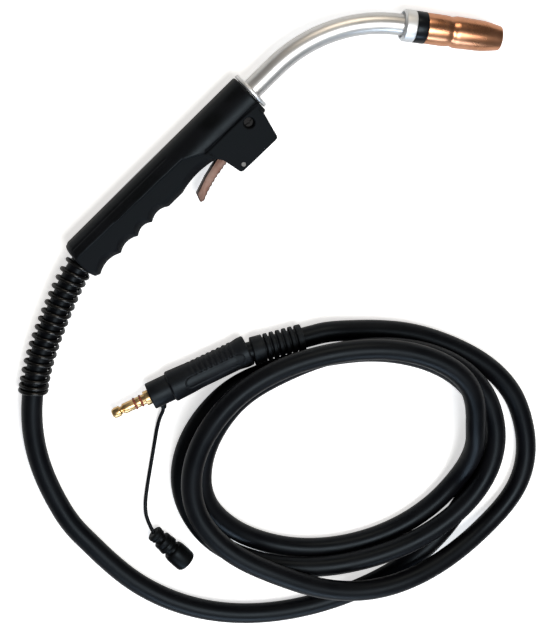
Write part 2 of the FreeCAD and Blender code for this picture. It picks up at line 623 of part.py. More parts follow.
def double_arc(start, leaving, end, arriving):
    """Two arcs from start to end with the given directions, joined where they share a tangent."""
    gap, both = end - start, leaving + arriving
    a, b, c = both.dot(both) - 4, -2 * gap.dot(both), gap.dot(gap)
    reach = (-b - math.sqrt(b * b - 4 * a * c)) / (2 * a)
    first, second = start + leaving * reach, end - arriving * reach
    middle = (first + second) * 0.5
    return [tangent_arc(start, first, middle), tangent_arc(middle, second, end)]


def shifted(x, y, z):
    """A place given in the frame of the handle, as a point of the finished torch."""
    return vector(x + size("rest_x"), y + size("rest_y"), z)


def least_gap(points, apart, width):
    """The least space between stretches of one tube that are some points apart along it."""
    least = min((points[a] - points[b]).Length for a in range(0, len(points), 2)
                for b in range(a + apart, len(points), 2))
    return least - width


# The rubber tail of the connector: where it is, how it is turned and where the cable leaves it.
TAIL_ALONG = "(bend_start - bend_radius * sin(tail_bend * 1 deg))"
TAIL_ACROSS = "(bend_radius * (1 - cos(tail_bend * 1 deg)))"
TAIL_TURN = "plug_turn - tail_bend"
TAIL_END = "tail_start - tail_collar - tail_gap - tail_pitch * tail_rings - tail_lip"

# The free cable: out of the handle, through the spring and down to where its coil starts.
CABLE_ROUTE = [(-158, -1.5, 18), (-187, -1.5, 18), (-208, -7.9, 17.3), (-232, -17.9, 15.8),
               (-257, -29.5, 14.2), (-281, -43, 13.2), (-303, -60.5, 12.2), (-321.5, -81.5, 10.4),
               (-336, -105.5, 9.3), (-346.5, -131.5, 8.75)]

# The coil, three turns and two thirds from the left: degrees round its middle, the half width of the
# turn there and how many layers of cable lie under it.
COIL_STATIONS = [
    (195, 172.5, 0), (225, 159.5, 0), (270, 122.5, 0), (315, 90, 0), (360, 80, 0), (405, 80.5, 0),
    (450, 86, 0), (472, 94, 0), (495, 106.5, 0), (540, 113, 0), (562, 112.6, 0.2), (585, 106.5, 0.6),
    (630, 92, 1), (675, 86.3, 1), (720, 83.6, 1), (765, 88.5, 1), (810, 94, 1.05), (832, 96.5, 1.05),
    (855, 101.3, 1), (900, 101.3, 0.64), (922, 97.8, 0.28), (945, 93.2, 0), (990, 82.8, 0), (1035, 73.6, 0.22),
    (1080, 69.2, 1.5), (1125, 86.5, 2.1), (1170, 99.5, 2.08), (1215, 110, 2.06), (1260, 109, 1.75),
    (1305, 104.5, 1.85), (1350, 118.5, 1.5), (1395, 118, 0.14), (1440, 104, 0), (1485, 97.4, 0),
    (1515, 102, 0.06)]


def coil_place(degrees, half_width, height):
    angle, tilt = math.radians(degrees), math.radians(size("coil_tilt"))
    along = size("coil_aspect") * half_width * math.cos(angle)
    across = half_width * math.sin(angle)
    return shifted(size("coil_x") + along * math.cos(tilt) - across * math.sin(tilt),
                   size("coil_y") + along * math.sin(tilt) + across * math.cos(tilt), height)


def steady_slope(before, here, after, column):
    """The slope of a value at a station: none at a peak, else between those on its two sides."""
    left = (here[column] - before[column]) / max(here[0] - before[0], 1)
    right = (after[column] - here[column]) / max(after[0] - here[0], 1)
    if here is before:
        return right
    if here is after:
        return left
    return 2 * left * right / (left + right) if left * right > 0 else 0.0


def coil_frames():
    """The place and direction of the cable at each station of the coil."""
    rows = [(degrees, width, size("cable_radius + floor_gap") + layers * size("coil_layer"))
            for degrees, width, layers in COIL_STATIONS]
    frames = []
    for before, here, after in zip(rows[:1] + rows, rows, rows[1:] + rows[-1:]):
        ahead = [coil_place(here[0] + step, *(here[column] + step * steady_slope(
            before, here, after, column) for column in (1, 2))) for step in (-0.01, 0.01)]
        frames.append((coil_place(*here), (ahead[1] - ahead[0]).normalize()))
    return frames


def connector_point(along, across=0.0):
    """A place in the connector, measured from its collar towards the pin and across its axis."""
    angle = math.radians(size("plug_turn"))
    return shifted(size("plug_x") + along * math.cos(angle) - across * math.sin(angle),
                   size("plug_y") + along * math.sin(angle) + across * math.cos(angle), size("plug_z"))


def tail_point(along):
    """A place on the axis of the rubber tail, measured from the end of the bend towards the pin."""
    angle = math.radians(size(TAIL_TURN))
    return (connector_point(size(TAIL_ALONG), size(TAIL_ACROSS))
            + vector(math.cos(angle), math.sin(angle)) * along)


def coil_edges():
    frames = coil_frames()
    start, leaving = frames[0]
    before, end = tail_point(size(TAIL_END + " - tail_lead")), tail_point(size(TAIL_END))
    frames.append((before, (end - before).normalize()))
    arcs = []
    for (here, ahead), (there, beyond) in zip(frames, frames[1:]):
        arcs += double_arc(here, ahead, there, beyond)
    print("coil arcs", len(arcs), "tightest", round(min(arc.Curve.Radius for arc in arcs)))
    first = start - leaving * 2 * size("cable_radius")
    return [Part.LineSegment(first, start).toShape(), *arcs, Part.LineSegment(before, end).toShape()]


def spread(edges, count):
    """Points along edges, as many on each edge."""
    return [edge.valueAt(edge.FirstParameter + (edge.LastParameter - edge.FirstParameter) * k / count)
            for edge in edges for k in range(count)]


def place_along(edges, distance):
    for edge in edges:
        if distance <= edge.Length:
            where = edge.getParameterByLength(max(distance, 0.0))
            return edge.valueAt(where), edge.tangentAt(where)
        distance -= edge.Length
    raise ValueError("the route is too short")


def spring_edges(route):
    """The spring's wire: a helix round the cable, whose last turns lie closer together."""
    turns, closed = size("spring_turns"), size("closed_turns")
    pitch, tight = size("spring_pitch"), size("closed_pitch")
    start = size("cable_start + handle_length - spring_pocket + spring_wire / 2 + spring_seat")

    def place(turn):
        distance = start + pitch * min(turn, turns - closed) + tight * max(turn - turns + closed, 0)
        centre, ahead = place_along(route, distance)
        side = vector(0, 0, 1).cross(ahead).normalize()
        angle = 2 * math.pi * (turn + size("spring_phase"))
        return centre + (side * math.cos(angle) + ahead.cross(side) * math.sin(angle)) * size(
            "spring_radius")

    steps = [quarter / 4 for quarter in range(int(4 * turns) + 1)]
    frames = [(place(turn), (place(turn + 0.001) - place(turn - 0.001)).normalize())
              for turn in steps]
    arcs = []
    for (here, ahead), (there, beyond) in zip(frames, frames[1:]):
        arcs += double_arc(here, ahead, there, beyond)
    return arcs


def cable_group():
    coil = coil_edges()
    start = coil[0].valueAt(coil[0].FirstParameter)
    ahead = coil[0].tangentAt(coil[0].FirstParameter)
    points = [shifted(*point) for point in CABLE_ROUTE] + [start - ahead * 27, start]
    run = rounded_route(points, "cable")
    cord_piece("cable_free_run", run, size("cable_radius"))
    cord_piece("cable_coil", coil, size("cable_radius"))
    print("coil least gap to itself %.2f" % least_gap(spread(coil, 12), 60, 2 * size("cable_radius")))
    spring = spring_edges(run)
    cord_piece("cable_support_spring", spring, size("spring_wire / 2"))
    print("spring least gap to itself %.2f" % least_gap(spread(spring, 5), 20, size("spring_wire")))


# Connector: a brass power pin in a moulded handle of two shells, and a ribbed rubber tail.
def on_connector(piece, cord=True):
    return keep(lay(piece, "rest_x + plug_x", "rest_y + plug_y", "plug_z", "plug_turn"), cord)


def connector_group():
    hexagon = doc.addObject("Part::Prism", "pin_hexagon")
    hexagon.Polygon = 6
    hexagon.Placement = FreeCAD.Placement(vector(0, 0), FreeCAD.Rotation(vector(0, 1, 0), 90))
    bind(hexagon, Circumradius="hex_across / sqrt(3)", Height="hex_long")
    shaft = turned("pin_shaft", [
        ("-pin_inside", "0"), ("-pin_inside", "pin_radius + 1.6"), ("-2", "pin_radius + 1.6"),
        ("-2", "pin_radius"),
        ("seal_a - seal_wire", "pin_radius"), ("seal_a - seal_wire", "seal_groove"),
        ("seal_a + seal_wire", "seal_groove"), ("seal_a + seal_wire", "pin_radius"),
        ("seal_b - seal_wire", "pin_radius"), ("seal_b - seal_wire", "seal_groove"),
        ("seal_b + seal_wire", "seal_groove"), ("seal_b + seal_wire", "pin_radius"),
        ("pin_long - head_long - 3.4", "pin_radius"), ("pin_long - head_long - 2.4", "neck_groove"),
        ("pin_long - head_long - 1", "neck_groove"), ("pin_long - head_long", "pin_radius - 0.1"),
        ("pin_long - 2.4", "pin_radius - 0.1"), ("pin_long", "pin_radius - 2"), ("pin_long", "0")])
    bore = along_x("pin_wire_bore", "-pin_inside - 1", "0", "0", "pin_bore",
                   "pin_inside + pin_long + 2")
    gas = upright_cylinder("pin_gas_hole", "(seal_a + seal_b) / 2", "0", "gas_hole", "0", "pin_radius + 1")
    on_connector(cut("power_pin", joined("power_pin_blank", shaft, hexagon), bore, gas))
    rings = []
    for word in ("seal_a", "seal_b"):
        ring = doc.addObject("Part::Torus", "pin_" + word)
        ring.Placement = FreeCAD.Placement(vector(0, 0), FreeCAD.Rotation(vector(0, 1, 0), 90))
        bind(ring, Radius1="seal_groove + running + seal_wire - 0.05", Radius2="seal_wire - 0.05")
        rings.append(lay(ring, word, "0", "0"))
    on_connector(joined("pin_seal_rings", *rings))
    on_connector(turned("connector_collar", [
        ("-front_collar_long", "pin_radius + 1.6 + easy"),
        ("-front_collar_long", "front_collar_radius"), ("-0.6", "front_collar_radius"),
        ("0", "front_collar_radius - 0.6"), ("0", "pin_radius + easy"), ("-2", "pin_radius + easy"),
        ("-2", "pin_radius + 1.6 + easy")]))
    front = "-front_collar_long - running"
    shell = turned("connector_shell_blank", [
        (front, "pin_radius + 1.6 + easy"), (front, "shell_radius - 1.2"),
        (front + " - 1.2", "shell_radius"), (front + " - 16", "shell_radius - 0.5"),
        (front + " - 24", "shell_waist + 0.3"), ("-shell_long + 13", "shell_waist"),
        ("-shell_long + 7", "shell_rear - 0.2"), ("-shell_long + 5", "shell_rear"),
        ("-shell_long + 1", "shell_rear"), ("-shell_long", "shell_rear - 1"),
        ("-shell_long", "shell_mouth"), ("bend_start - 2", "cable_radius + 0.2"),
        ("-pin_inside - 14", "cable_radius + 0.2"),
        ("-pin_inside - 1", "shell_bore"), ("-pin_inside - 1", "pin_radius + 1.6 + easy")])
    ribs = []
    for number in range(int(size("shell_ribs"))):
        place = "-shell_long + 12 + shell_rib_pitch * %d" % number
        ribs.append(lay(turned("grip_rib_%d" % (number + 1), [
            (place, "shell_waist - 1"), (place, "shell_waist + shell_rib"),
            (place + " + shell_rib_pitch / 2", "shell_waist + shell_rib"),
            (place + " + shell_rib_pitch / 2", "shell_waist - 1")]), "0", "0", "0"))
    side = block("grip_rib_side", "-shell_long", "-20", "-20", "shell_long", "16", "40")
    ribbed = joined("connector_ribbed", shell, common("grip_ribs", joined("grip_ribs_round", *ribs),
                                                      side))
    half = block("connector_upper_space", "-shell_long - 5", "-30", "0", "shell_long + 10", "60", "30")
    on_connector(common("connector_shell_upper", ribbed, half))
    on_connector(cut("connector_shell_lower", ribbed, half))
    core = lay(turned("cable_core_in_connector", [
        ("-pin_inside - 14.5", "0"), ("-pin_inside - 14.5", "cable_radius - 2.5"),
        ("-pin_inside", "cable_radius - 2.5"), ("-pin_inside", "0")]),
        "rest_x + plug_x", "rest_y + plug_y", "plug_z", "plug_turn")
    keep(joined("connector_cable_end", core, from_shape("cable_through_tail", cable_through_tail())),
         cord=True)
    tail_group()


def cable_through_tail():
    """The end of the cable: straight in the shells, a bend at their rear, and straight in the tail."""
    reach = size("bend_radius * tan(tail_bend / 2 * 1 deg)")
    bend_start = connector_point(size("bend_start"))
    bend_end = tail_point(0)
    return pipe([Part.LineSegment(connector_point(size("-pin_inside - 14")), bend_start).toShape(),
                 tangent_arc(bend_start, connector_point(size("bend_start") - reach), bend_end),
                 Part.LineSegment(bend_end, tail_point(size(TAIL_END))).toShape()],
                size("cable_radius"))


def tail_group():
    """The ribbed rubber tail: a plain collar, rings that stand apart and a wider ring at the end."""
    tail = [("tail_start", "cable_radius + running"), ("tail_start", "tail_radius - 0.4"),
            ("tail_start - 0.4", "tail_radius"), ("tail_start - tail_collar", "tail_radius"),
            ("tail_start - tail_collar", "tail_core")]
    for number in range(int(size("tail_rings"))):
        place = "tail_start - tail_collar - tail_gap - tail_pitch * %d" % number
        tail += [(place, "tail_core"), (place + " - 0.5", "tail_radius"),
                 (place + " - tail_ring + 0.5", "tail_radius"), (place + " - tail_ring", "tail_core")]
    tail += [(TAIL_END + " + tail_lip", "tail_core"), (TAIL_END + " + tail_lip - 0.5", "tail_radius"),
             (TAIL_END + " + 0.5", "tail_radius"), (TAIL_END, "tail_radius - 0.5"),
             (TAIL_END, "cable_radius + running")]
    keep(lay(turned("cable_strain_relief", tail),
             "rest_x + plug_x + %s * cos(plug_turn * 1 deg) - %s * sin(plug_turn * 1 deg)" % (
                 TAIL_ALONG, TAIL_ACROSS),
             "rest_y + plug_y + %s * sin(plug_turn * 1 deg) + %s * cos(plug_turn * 1 deg)" % (
                 TAIL_ALONG, TAIL_ACROSS), "plug_z", TAIL_TURN), cord=True)


# Control lead: a thin cable from the connector's collar to a small plug with a loose coupling ring.
LEAD_ROUTE = [(-226.6, -136, 9.1), (-229.8, -141.3, 7.3), (-237.6, -144.6, 4.6),
              (-246.3, -150.3, 2.4), (-257.4, -158.8, 1.65), (-273.8, -170.8, 1.65),
              (-290, -182.8, 1.65), (-301.5, -192, 3), (-309, -201.5, 6.4)]


def on_small_plug(piece):
    return keep(lay(piece, "rest_x + small_x", "rest_y + small_y", "small_z", "-90"), cord=True)


def control_lead_group():
    end = shifted(size("small_x"), size("small_y"), size("small_z"))
    cord_piece("control_lead", rounded_route([shifted(*point) for point in LEAD_ROUTE] + [end],
                                             "control lead"), size("thin_radius"))
    first, second = (vector(*point) for point in LEAD_ROUTE[:2])
    turn = FreeCAD.Rotation(vector(1, 0, 0), second - first)
    boot = turned("control_lead_boot", [
        ("boot_start", "thin_radius + running"), ("boot_start", "boot_radius"),
        ("boot_start + 1", "boot_radius"), ("boot_start + boot_long", "thin_radius + 0.6"),
        ("boot_start + boot_long", "thin_radius + running")])
    boot.Placement = FreeCAD.Placement(vector(0, 0), turn)
    keep(lay(boot, "rest_x + %s" % first.x, "rest_y + %s" % first.y, str(first.z)), cord=True)


def small_plug_group():
    on_small_plug(turned("control_plug_nut", [
        ("0", "thin_radius + easy"), ("0", "small_nut - 1"), ("1", "small_nut"),
        ("small_nut_long", "small_nut"), ("small_nut_long", "thin_radius + easy")]))
    collar_end = "small_nut_long + small_collar_long"
    on_small_plug(turned("control_plug_body", [
        ("small_nut_long", "0"), ("small_nut_long", "small_collar"), (collar_end, "small_collar"),
        (collar_end, "small_body"), ("small_body_end", "small_body"),
        ("small_body_end", "small_core + easy"), ("small_body_end - 12", "small_core + easy"),
        ("small_body_end - 12", "0")]))
    on_small_plug(turned("control_plug_ring", [
        ("small_ring_start", "small_body + running"), ("small_ring_start", "small_ring - 0.6"),
        ("small_ring_start + 0.6", "small_ring"), ("small_ring_end - 1", "small_ring"),
        ("small_ring_end", "small_ring - 1"), ("small_ring_end", "small_socket"),
        ("small_body_end + running", "small_socket"),
        ("small_body_end + running", "small_body + running")]))
    insert = turned("control_plug_insert_blank", [
        ("small_body_end - 12", "0"), ("small_body_end - 12", "small_core"),
        ("small_core_end", "small_core"), ("small_core_end", "0")])
    holes, pins = [], []
    for number, side in enumerate(("-2.2", "2.2"), 1):
        holes.append(along_x("contact_hole_%d" % number, "small_body_end - 13", side, "0",
                             "contact_radius + easy", "small_core_end - small_body_end + 14"))
        pins.append(along_x("contact_pin_%d" % number, "small_body_end - 11.9", side, "0",
                            "contact_radius", "small_core_end - small_body_end + 11.4"))
    on_small_plug(cut("control_plug_insert", insert, *holes))
    on_small_plug(joined("control_plug_contacts", *pins))


SWITCH_LEAD_ROUTE = [(-26, -14.7), (-27, -12.6), (-48, -11.9), (-70, -12.1), (-92, -11.6),
                     (-108, -9.2), (-117.95, -8.1)]


def switch_leads():
    """Two wires from the back of the switch, side by side, to the crimped end of the cable."""
    pair = []
    for number, side in enumerate((-1, 1), 1):
        height = size("axis_height + lead_spread * %d" % side)
        points = [shifted(x, y, height) for x, y in SWITCH_LEAD_ROUTE]
        pair.append(pipe(rounded_route(points, "switch lead %d" % number), size("lead_radius")))
    keep(from_shape("switch_leads", Part.Compound(pair)))


# The torch is first set so that its own box is centred on the origin, without the cable's pieces.
doc.recompute()
box = FreeCAD.BoundBox()
for piece in PIECES:
    box.add(piece.Shape.optimalBoundingBox())
for word, number in (("rest_x", -(box.XMin + box.XMax) / 2), ("rest_y", -(box.YMin + box.YMax) / 2)):
    sheet.set(sheet.getCellFromAlias(word), "%.4f" % number)
doc.recompute()
switch_leads()
cable_group()
connector_group()
control_lead_group()
small_plug_group()
doc.recompute()

for thing in doc.Objects:
    if "Invalid" in thing.State or "Error" in thing.State:
        raise RuntimeError("%s could not be made: %s" % (thing.Label, thing.State))
os.makedirs("parts", exist_ok=True)
for piece in PIECES:
    shape = piece.Shape
    if shape.isNull() or not shape.isValid() or not shape.Solids:
        raise RuntimeError("%s has no valid solid" % piece.Label)
    shape.exportStep("parts/%s.step" % piece.Label)
    print("%-26s %d solid, %9.1f mm3, lowest %.2f" % (
        piece.Label, len(shape.Solids), shape.Volume, shape.optimalBoundingBox().ZMin))
print(len(PIECES), "pieces; on the cable:", ", ".join(CORD_LABELS))
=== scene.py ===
# %% [markdown]
# # A MIG welding torch on a table
# The working model of the torch comes from CAD and is loaded as a fixed frame. This lesson dresses it:
# the cable and its spring first, then the moulded handle, the neck with its nozzle, the connector and
# the small plug. Everything is in metres, and every new piece sits where the CAD piece is.

# %% Load the frame
import json
import math

import bpy
from mathutils import Matrix, Vector


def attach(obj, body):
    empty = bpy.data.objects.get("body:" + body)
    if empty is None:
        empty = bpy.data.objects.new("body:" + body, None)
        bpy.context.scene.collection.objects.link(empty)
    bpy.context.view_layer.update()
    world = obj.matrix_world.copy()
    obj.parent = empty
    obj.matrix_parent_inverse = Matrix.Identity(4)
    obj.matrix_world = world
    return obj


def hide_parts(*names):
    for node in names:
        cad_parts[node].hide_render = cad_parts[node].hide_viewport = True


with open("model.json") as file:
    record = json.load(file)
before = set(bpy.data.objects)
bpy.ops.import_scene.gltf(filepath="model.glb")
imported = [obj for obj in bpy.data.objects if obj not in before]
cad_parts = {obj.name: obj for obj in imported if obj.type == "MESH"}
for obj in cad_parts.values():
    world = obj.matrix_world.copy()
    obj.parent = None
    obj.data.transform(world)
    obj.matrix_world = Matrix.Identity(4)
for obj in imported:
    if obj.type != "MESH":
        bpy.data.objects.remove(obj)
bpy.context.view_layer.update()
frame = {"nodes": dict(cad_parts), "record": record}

record = frame["record"]
print("CAD pieces:", len(frame["nodes"]))

# %% [markdown]
# ## Places
# Sizes on a torch are thought of in millimetres from the front face of the handle, with X towards the
# nozzle, Y away from the trigger and Z up. The trigger's hinge tells where that face lies in the frame.

# %% Millimetres from the handle's front face
MM = 0.001
TRIGGER_PIN = (-42, -34.6)
joints = {joint["name"]: joint for joint in record["behaviour"]["joints"]}
pin_place = joints["trigger_pull"]["pos_m"]
REST = Vector((pin_place[0] - TRIGGER_PIN[0] * MM, pin_place[1] - TRIGGER_PIN[1] * MM, 0))
AXIS_HEIGHT = 18


def at(x, y, z=0.0):
    return Vector((x, y, z)) * MM + REST


print("handle front face:", [round(v, 4) for v in at(0, 0, AXIS_HEIGHT)])

# %% [markdown]
# ## Camera
# The torch is seen from above, turned so that its handle climbs to the upper left. The three directions
# are those of the picture's right, its top and the way back to the eye.

# %% Camera
CAMERA_PLACE = (-34.7, 284.8, 1316)
PICTURE_RIGHT = Vector((0.71446, -0.67551, 0.1823))
PICTURE_UP = Vector((0.69728, 0.66585, -0.2654))
camera_data = bpy.data.cameras.new("camera")
camera_data.lens = 94.2
camera_data.sensor_width = 36
camera = bpy.data.objects.new("camera", camera_data)
bpy.context.scene.collection.objects.link(camera)
across = PICTURE_RIGHT.normalized()
back = across.cross(PICTURE_UP).normalized()
turn = Matrix((across, back.cross(across), back)).transposed()
camera.matrix_world = Matrix.Translation(at(*CAMERA_PLACE)) @ turn.to_4x4()
bpy.context.scene.camera = camera
print("camera height:", round(camera.location.z, 3))

# %% [markdown]
# ## Nodes for materials
# Each finish is built from a few nodes: noise read in object coordinates, a ramp that turns it into a
# colour or roughness, and a bump for the fine surface.

# %% Helpers for materials
RAMP_START = 0.35
RAMP_END = 0.65
CLOUD_DETAIL = 3.0
GRAIN_DETAIL = 2.0


def new_finish(name):
    finish = bpy.data.materials.new(name)
    finish.use_nodes = True
    return finish, finish.node_tree.nodes, finish.node_tree.links, finish.node_tree.nodes["Principled BSDF"]


def object_place(nodes, links, stretch):
    """Object coordinates, stretched along each axis."""
    coordinates = nodes.new("ShaderNodeTexCoord")
    mapping = nodes.new("ShaderNodeMapping")
    mapping.inputs["Scale"].default_value = stretch
    links.new(coordinates.outputs["Object"], mapping.inputs["Vector"])
    return mapping.outputs["Vector"]


def noise(nodes, links, place, scale, detail):
    texture = nodes.new("ShaderNodeTexNoise")
    texture.inputs["Scale"].default_value = scale
    texture.inputs["Detail"].default_value = detail
    links.new(place, texture.inputs["Vector"])
    return texture.outputs["Fac"]


def ramp(nodes, links, source, low, high):
    """A colour ramp from low to high; a single number stands for a grey."""
    colours = [(*c, 1) if hasattr(c, "__len__") else (c, c, c, 1) for c in (low, high)]
    steps = nodes.new("ShaderNodeValToRGB")
    steps.color_ramp.elements[0].position = RAMP_START
    steps.color_ramp.elements[1].position = RAMP_END
    steps.color_ramp.elements[0].color = colours[0]
    steps.color_ramp.elements[1].color = colours[1]
    links.new(source, steps.inputs["Fac"])
    return steps.outputs["Color"]


def bump(nodes, links, shader, height, distance):
    relief = nodes.new("ShaderNodeBump")
    relief.inputs["Distance"].default_value = distance
    relief.inputs["Strength"].default_value = 1.0
    links.new(height, relief.inputs["Height"])
    links.new(relief.outputs["Normal"], shader.inputs["Normal"])


def finish_of(name, dark, light, rough, metal=0.0, cloud=60, grain=2500, relief=0.00002,
              stretch=(1, 1, 1), gloss=0.5, highlight_tint=(1, 1, 1)):
    """A finish whose colour and roughness drift slowly and whose surface has a fine grain."""
    finish, nodes, links, shader = new_finish(name)
    place = object_place(nodes, links, stretch)
    drift = noise(nodes, links, place, cloud, CLOUD_DETAIL)
    links.new(ramp(nodes, links, drift, dark, light), shader.inputs["Base Color"])
    links.new(ramp(nodes, links, drift, *rough), shader.inputs["Roughness"])
    shader.inputs["Metallic"].default_value = metal
    shader.inputs["Specular IOR Level"].default_value = gloss
    # The specular tint colours the reflections; the blue tint given to the blacks is a painted highlight
    # colour.
    shader.inputs["Specular Tint"].default_value = (*highlight_tint, 1)
    bump(nodes, links, shader, noise(nodes, links, place, grain, GRAIN_DETAIL), relief)
    return finish


print("material helpers ready")

# %% [markdown]
# ## The finishes of a torch
# Moulded plastic is a very dark grey with a fine spark-eroded grain. The cable's rubber is smoother. All the
# blacks have a painted blue highlight: their reflections are tinted blue. Turned brass and copper carry fine
# marks of the lathe, and the neck is bare metal, brushed along its length.

# %% Plastics and rubbers
# Painted highlight: this blue specular tint makes the blacks' reflections blue, standing in for a bluish
# light.
PAINTED_BLUE_HIGHLIGHT = (0.72, 0.88, 1)
moulded_black = finish_of("moulded_black", (0.003, 0.003, 0.004), (0.006, 0.006, 0.008), (0.46, 0.56),
                          grain=1800, relief=0.00005, gloss=0.24, highlight_tint=PAINTED_BLUE_HIGHLIGHT)
grip_black = finish_of("grip_black", (0.003, 0.003, 0.004), (0.005, 0.006, 0.007), (0.66, 0.74),
                       grain=1500, relief=0.00008, gloss=0.14, highlight_tint=PAINTED_BLUE_HIGHLIGHT)
barrel_black = finish_of("barrel_black", (0.002, 0.002, 0.002), (0.004, 0.004, 0.005), (0.38, 0.46),
                         grain=1800, relief=0.00003, gloss=0.16, highlight_tint=PAINTED_BLUE_HIGHLIGHT)
smooth_black = finish_of("smooth_black", (0.002, 0.002, 0.003), (0.004, 0.004, 0.005), (0.26, 0.34),
                         grain=900, relief=0.00001, gloss=0.2, highlight_tint=PAINTED_BLUE_HIGHLIGHT)
cable_rubber = finish_of("cable_rubber", (0.002, 0.002, 0.003), (0.004, 0.004, 0.005), (0.36, 0.44),
                         cloud=35, grain=1400, relief=0.00002, gloss=0.15, highlight_tint=PAINTED_BLUE_HIGHLIGHT)
tail_rubber = finish_of("tail_rubber", (0.003, 0.003, 0.004), (0.006, 0.006, 0.007), (0.5, 0.6),
                        grain=1200, relief=0.00004, gloss=0.26, highlight_tint=PAINTED_BLUE_HIGHLIGHT)
plug_black = finish_of("plug_black", (0.002, 0.002, 0.002), (0.004, 0.004, 0.004), (0.4, 0.5),
                       grain=1500, relief=0.00003, gloss=0.12, highlight_tint=PAINTED_BLUE_HIGHLIGHT)
seal_rubber = finish_of("seal_rubber", (0.20, 0.045, 0.025), (0.30, 0.07, 0.035), (0.45, 0.6))
pale_insulation = finish_of("pale_insulation", (0.55, 0.53, 0.48), (0.66, 0.64, 0.58), (0.45, 0.6))
print("plastics and rubbers ready")

# %% Metals
polished_copper = finish_of("polished_copper", (0.56, 0.25, 0.13), (0.72, 0.35, 0.20), (0.25, 0.34),
                            metal=1.0, cloud=45, grain=1500, relief=0.000008)
trigger_bronze = finish_of("trigger_bronze", (0.09, 0.052, 0.042), (0.16, 0.118, 0.102), (0.42, 0.52),
                           metal=1.0, cloud=80, grain=1600, relief=0.00002)
turned_brass = finish_of("turned_brass", (0.66, 0.44, 0.20), (0.78, 0.55, 0.28), (0.3, 0.36),
                         metal=1.0, cloud=60, grain=1500, relief=0.000002)
bare_tube = finish_of("bare_tube", (0.58, 0.58, 0.58), (0.70, 0.70, 0.70), (0.34, 0.42),
                      metal=1.0, cloud=30, grain=900, relief=0.00002, stretch=(0.08, 1, 1))
satin_aluminium = finish_of("satin_aluminium", (0.76, 0.78, 0.80), (0.86, 0.88, 0.89), (0.48, 0.56),
                            metal=1.0, cloud=60, grain=1200, relief=0.00001)
black_spring_steel = finish_of("black_spring_steel", (0.002, 0.002, 0.002), (0.005, 0.005, 0.005),
                               (0.2, 0.28), grain=700, relief=0.00001, gloss=0.3)
blackened_steel = finish_of("blackened_steel", (0.004, 0.004, 0.005), (0.007, 0.007, 0.008), (0.5, 0.6),
                            gloss=0.15)
bright_steel = finish_of("bright_steel", (0.42, 0.42, 0.42), (0.55, 0.55, 0.54), (0.25, 0.35), metal=1.0)
dull_steel = finish_of("dull_steel", (0.10, 0.10, 0.10), (0.16, 0.16, 0.16), (0.5, 0.6), metal=1.0)
print("metals ready")

# %% [markdown]
# ## Cable
# A torch cable is a stiff rubber hose of 17 mm with the current lead, the gas tube and the wire liner in
# it. It leaves the handle inside a spring, bends down to the table and lies in a loose coil whose turns
# differ in size. It is one curve: the free part has listed points, the coil's come from a formula.

# %% The free part's points
CABLE_RADIUS = 8.6
FLOOR_GAP = 0.05
CABLE_ROUTE = [(-158, -1.5, 18), (-187, -1.5, 18), (-208, -7.9, 17.3), (-232, -17.9, 15.8),
               (-257, -29.5, 14.2), (-281, -43, 13.2), (-303, -60.5, 12.2), (-321.5, -81.5, 10.4),
               (-336, -105.5, 9.3), (-346.5, -131.5, 8.75)]

# %% The coil's turns: degrees round its middle, half width of the turn, layers of cable under it
COIL_MIDDLE = (-140, -288)
COIL_TILT = math.radians(-33)
COIL_ASPECT = 1.37
COIL_LAYER = 17.8
COIL_STATIONS = [
    (195, 172.5, 0), (225, 159.5, 0), (270, 122.5, 0), (315, 90, 0), (360, 80, 0), (405, 80.5, 0),
    (450, 86, 0), (472, 94, 0), (495, 106.5, 0), (540, 113, 0), (562, 112.6, 0.2), (585, 106.5, 0.6),
    (630, 92, 1), (675, 86.3, 1), (720, 83.6, 1), (765, 88.5, 1), (810, 94, 1.05), (832, 96.5, 1.05),
    (855, 101.3, 1), (900, 101.3, 0.64), (922, 97.8, 0.28), (945, 93.2, 0), (990, 82.8, 0),
    (1035, 73.6, 0.22),
    (1080, 69.2, 1.5), (1125, 86.5, 2.1), (1170, 99.5, 2.08), (1215, 110, 2.06), (1260, 109, 1.75),
    (1305, 104.5, 1.85), (1350, 118.5, 1.5), (1395, 118, 0.14), (1440, 104, 0), (1485, 97.4, 0),
    (1515, 102, 0.06)]
COIL_STEP = 7.5
RUN_IN = 45


def coil_place(degrees, half_width, layers):
    angle = math.radians(degrees)
    along = COIL_ASPECT * half_width * math.cos(angle)
    sideways = half_width * math.sin(angle)
    height = CABLE_RADIUS + FLOOR_GAP + COIL_LAYER * layers
    return at(COIL_MIDDLE[0] + along * math.cos(COIL_TILT) - sideways * math.sin(COIL_TILT),
              COIL_MIDDLE[1] + along * math.sin(COIL_TILT) + sideways * math.cos(COIL_TILT), height)


def steady_slopes(column):
    """Slopes of one column of the stations, none where the value turns back."""
    rises = [(b[column] - a[column]) / (b[0] - a[0]) for a, b in zip(COIL_STATIONS, COIL_STATIONS[1:])]
    inner = [2 * a * b / (a + b) if a * b > 0 else 0.0 for a, b in zip(rises, rises[1:])]
    return [rises[0]] + inner + [rises[-1]]


def between(degrees, column, slopes):
    """A column's value between two stations, along a smooth cubic."""
    index = next(k for k, row in enumerate(COIL_STATIONS[1:]) if degrees <= row[0])
    left, right = COIL_STATIONS[index], COIL_STATIONS[index + 1]
    width = right[0] - left[0]
    t = (degrees - left[0]) / width
    return ((2 * t ** 3 - 3 * t ** 2 + 1) * left[column] + (t ** 3 - 2 * t ** 2 + t) * width * slopes[index]
            + (3 * t ** 2 - 2 * t ** 3) * right[column] + (t ** 3 - t ** 2) * width * slopes[index + 1])


WIDTH_SLOPES, LAYER_SLOPES = steady_slopes(1), steady_slopes(2)
FIRST_ANGLE, LAST_ANGLE = COIL_STATIONS[0][0], COIL_STATIONS[-1][0]


def coil_point(angle, outwards=1.0):
    return coil_place(angle, between(angle, 1, WIDTH_SLOPES) * outwards, between(angle, 2, LAYER_SLOPES))


def coil_ahead(angle, step):
    """The cable's direction at an end of the coil, found from a point a little inside the end."""
    return ((coil_point(angle + step) - coil_point(angle)) / step).normalized()


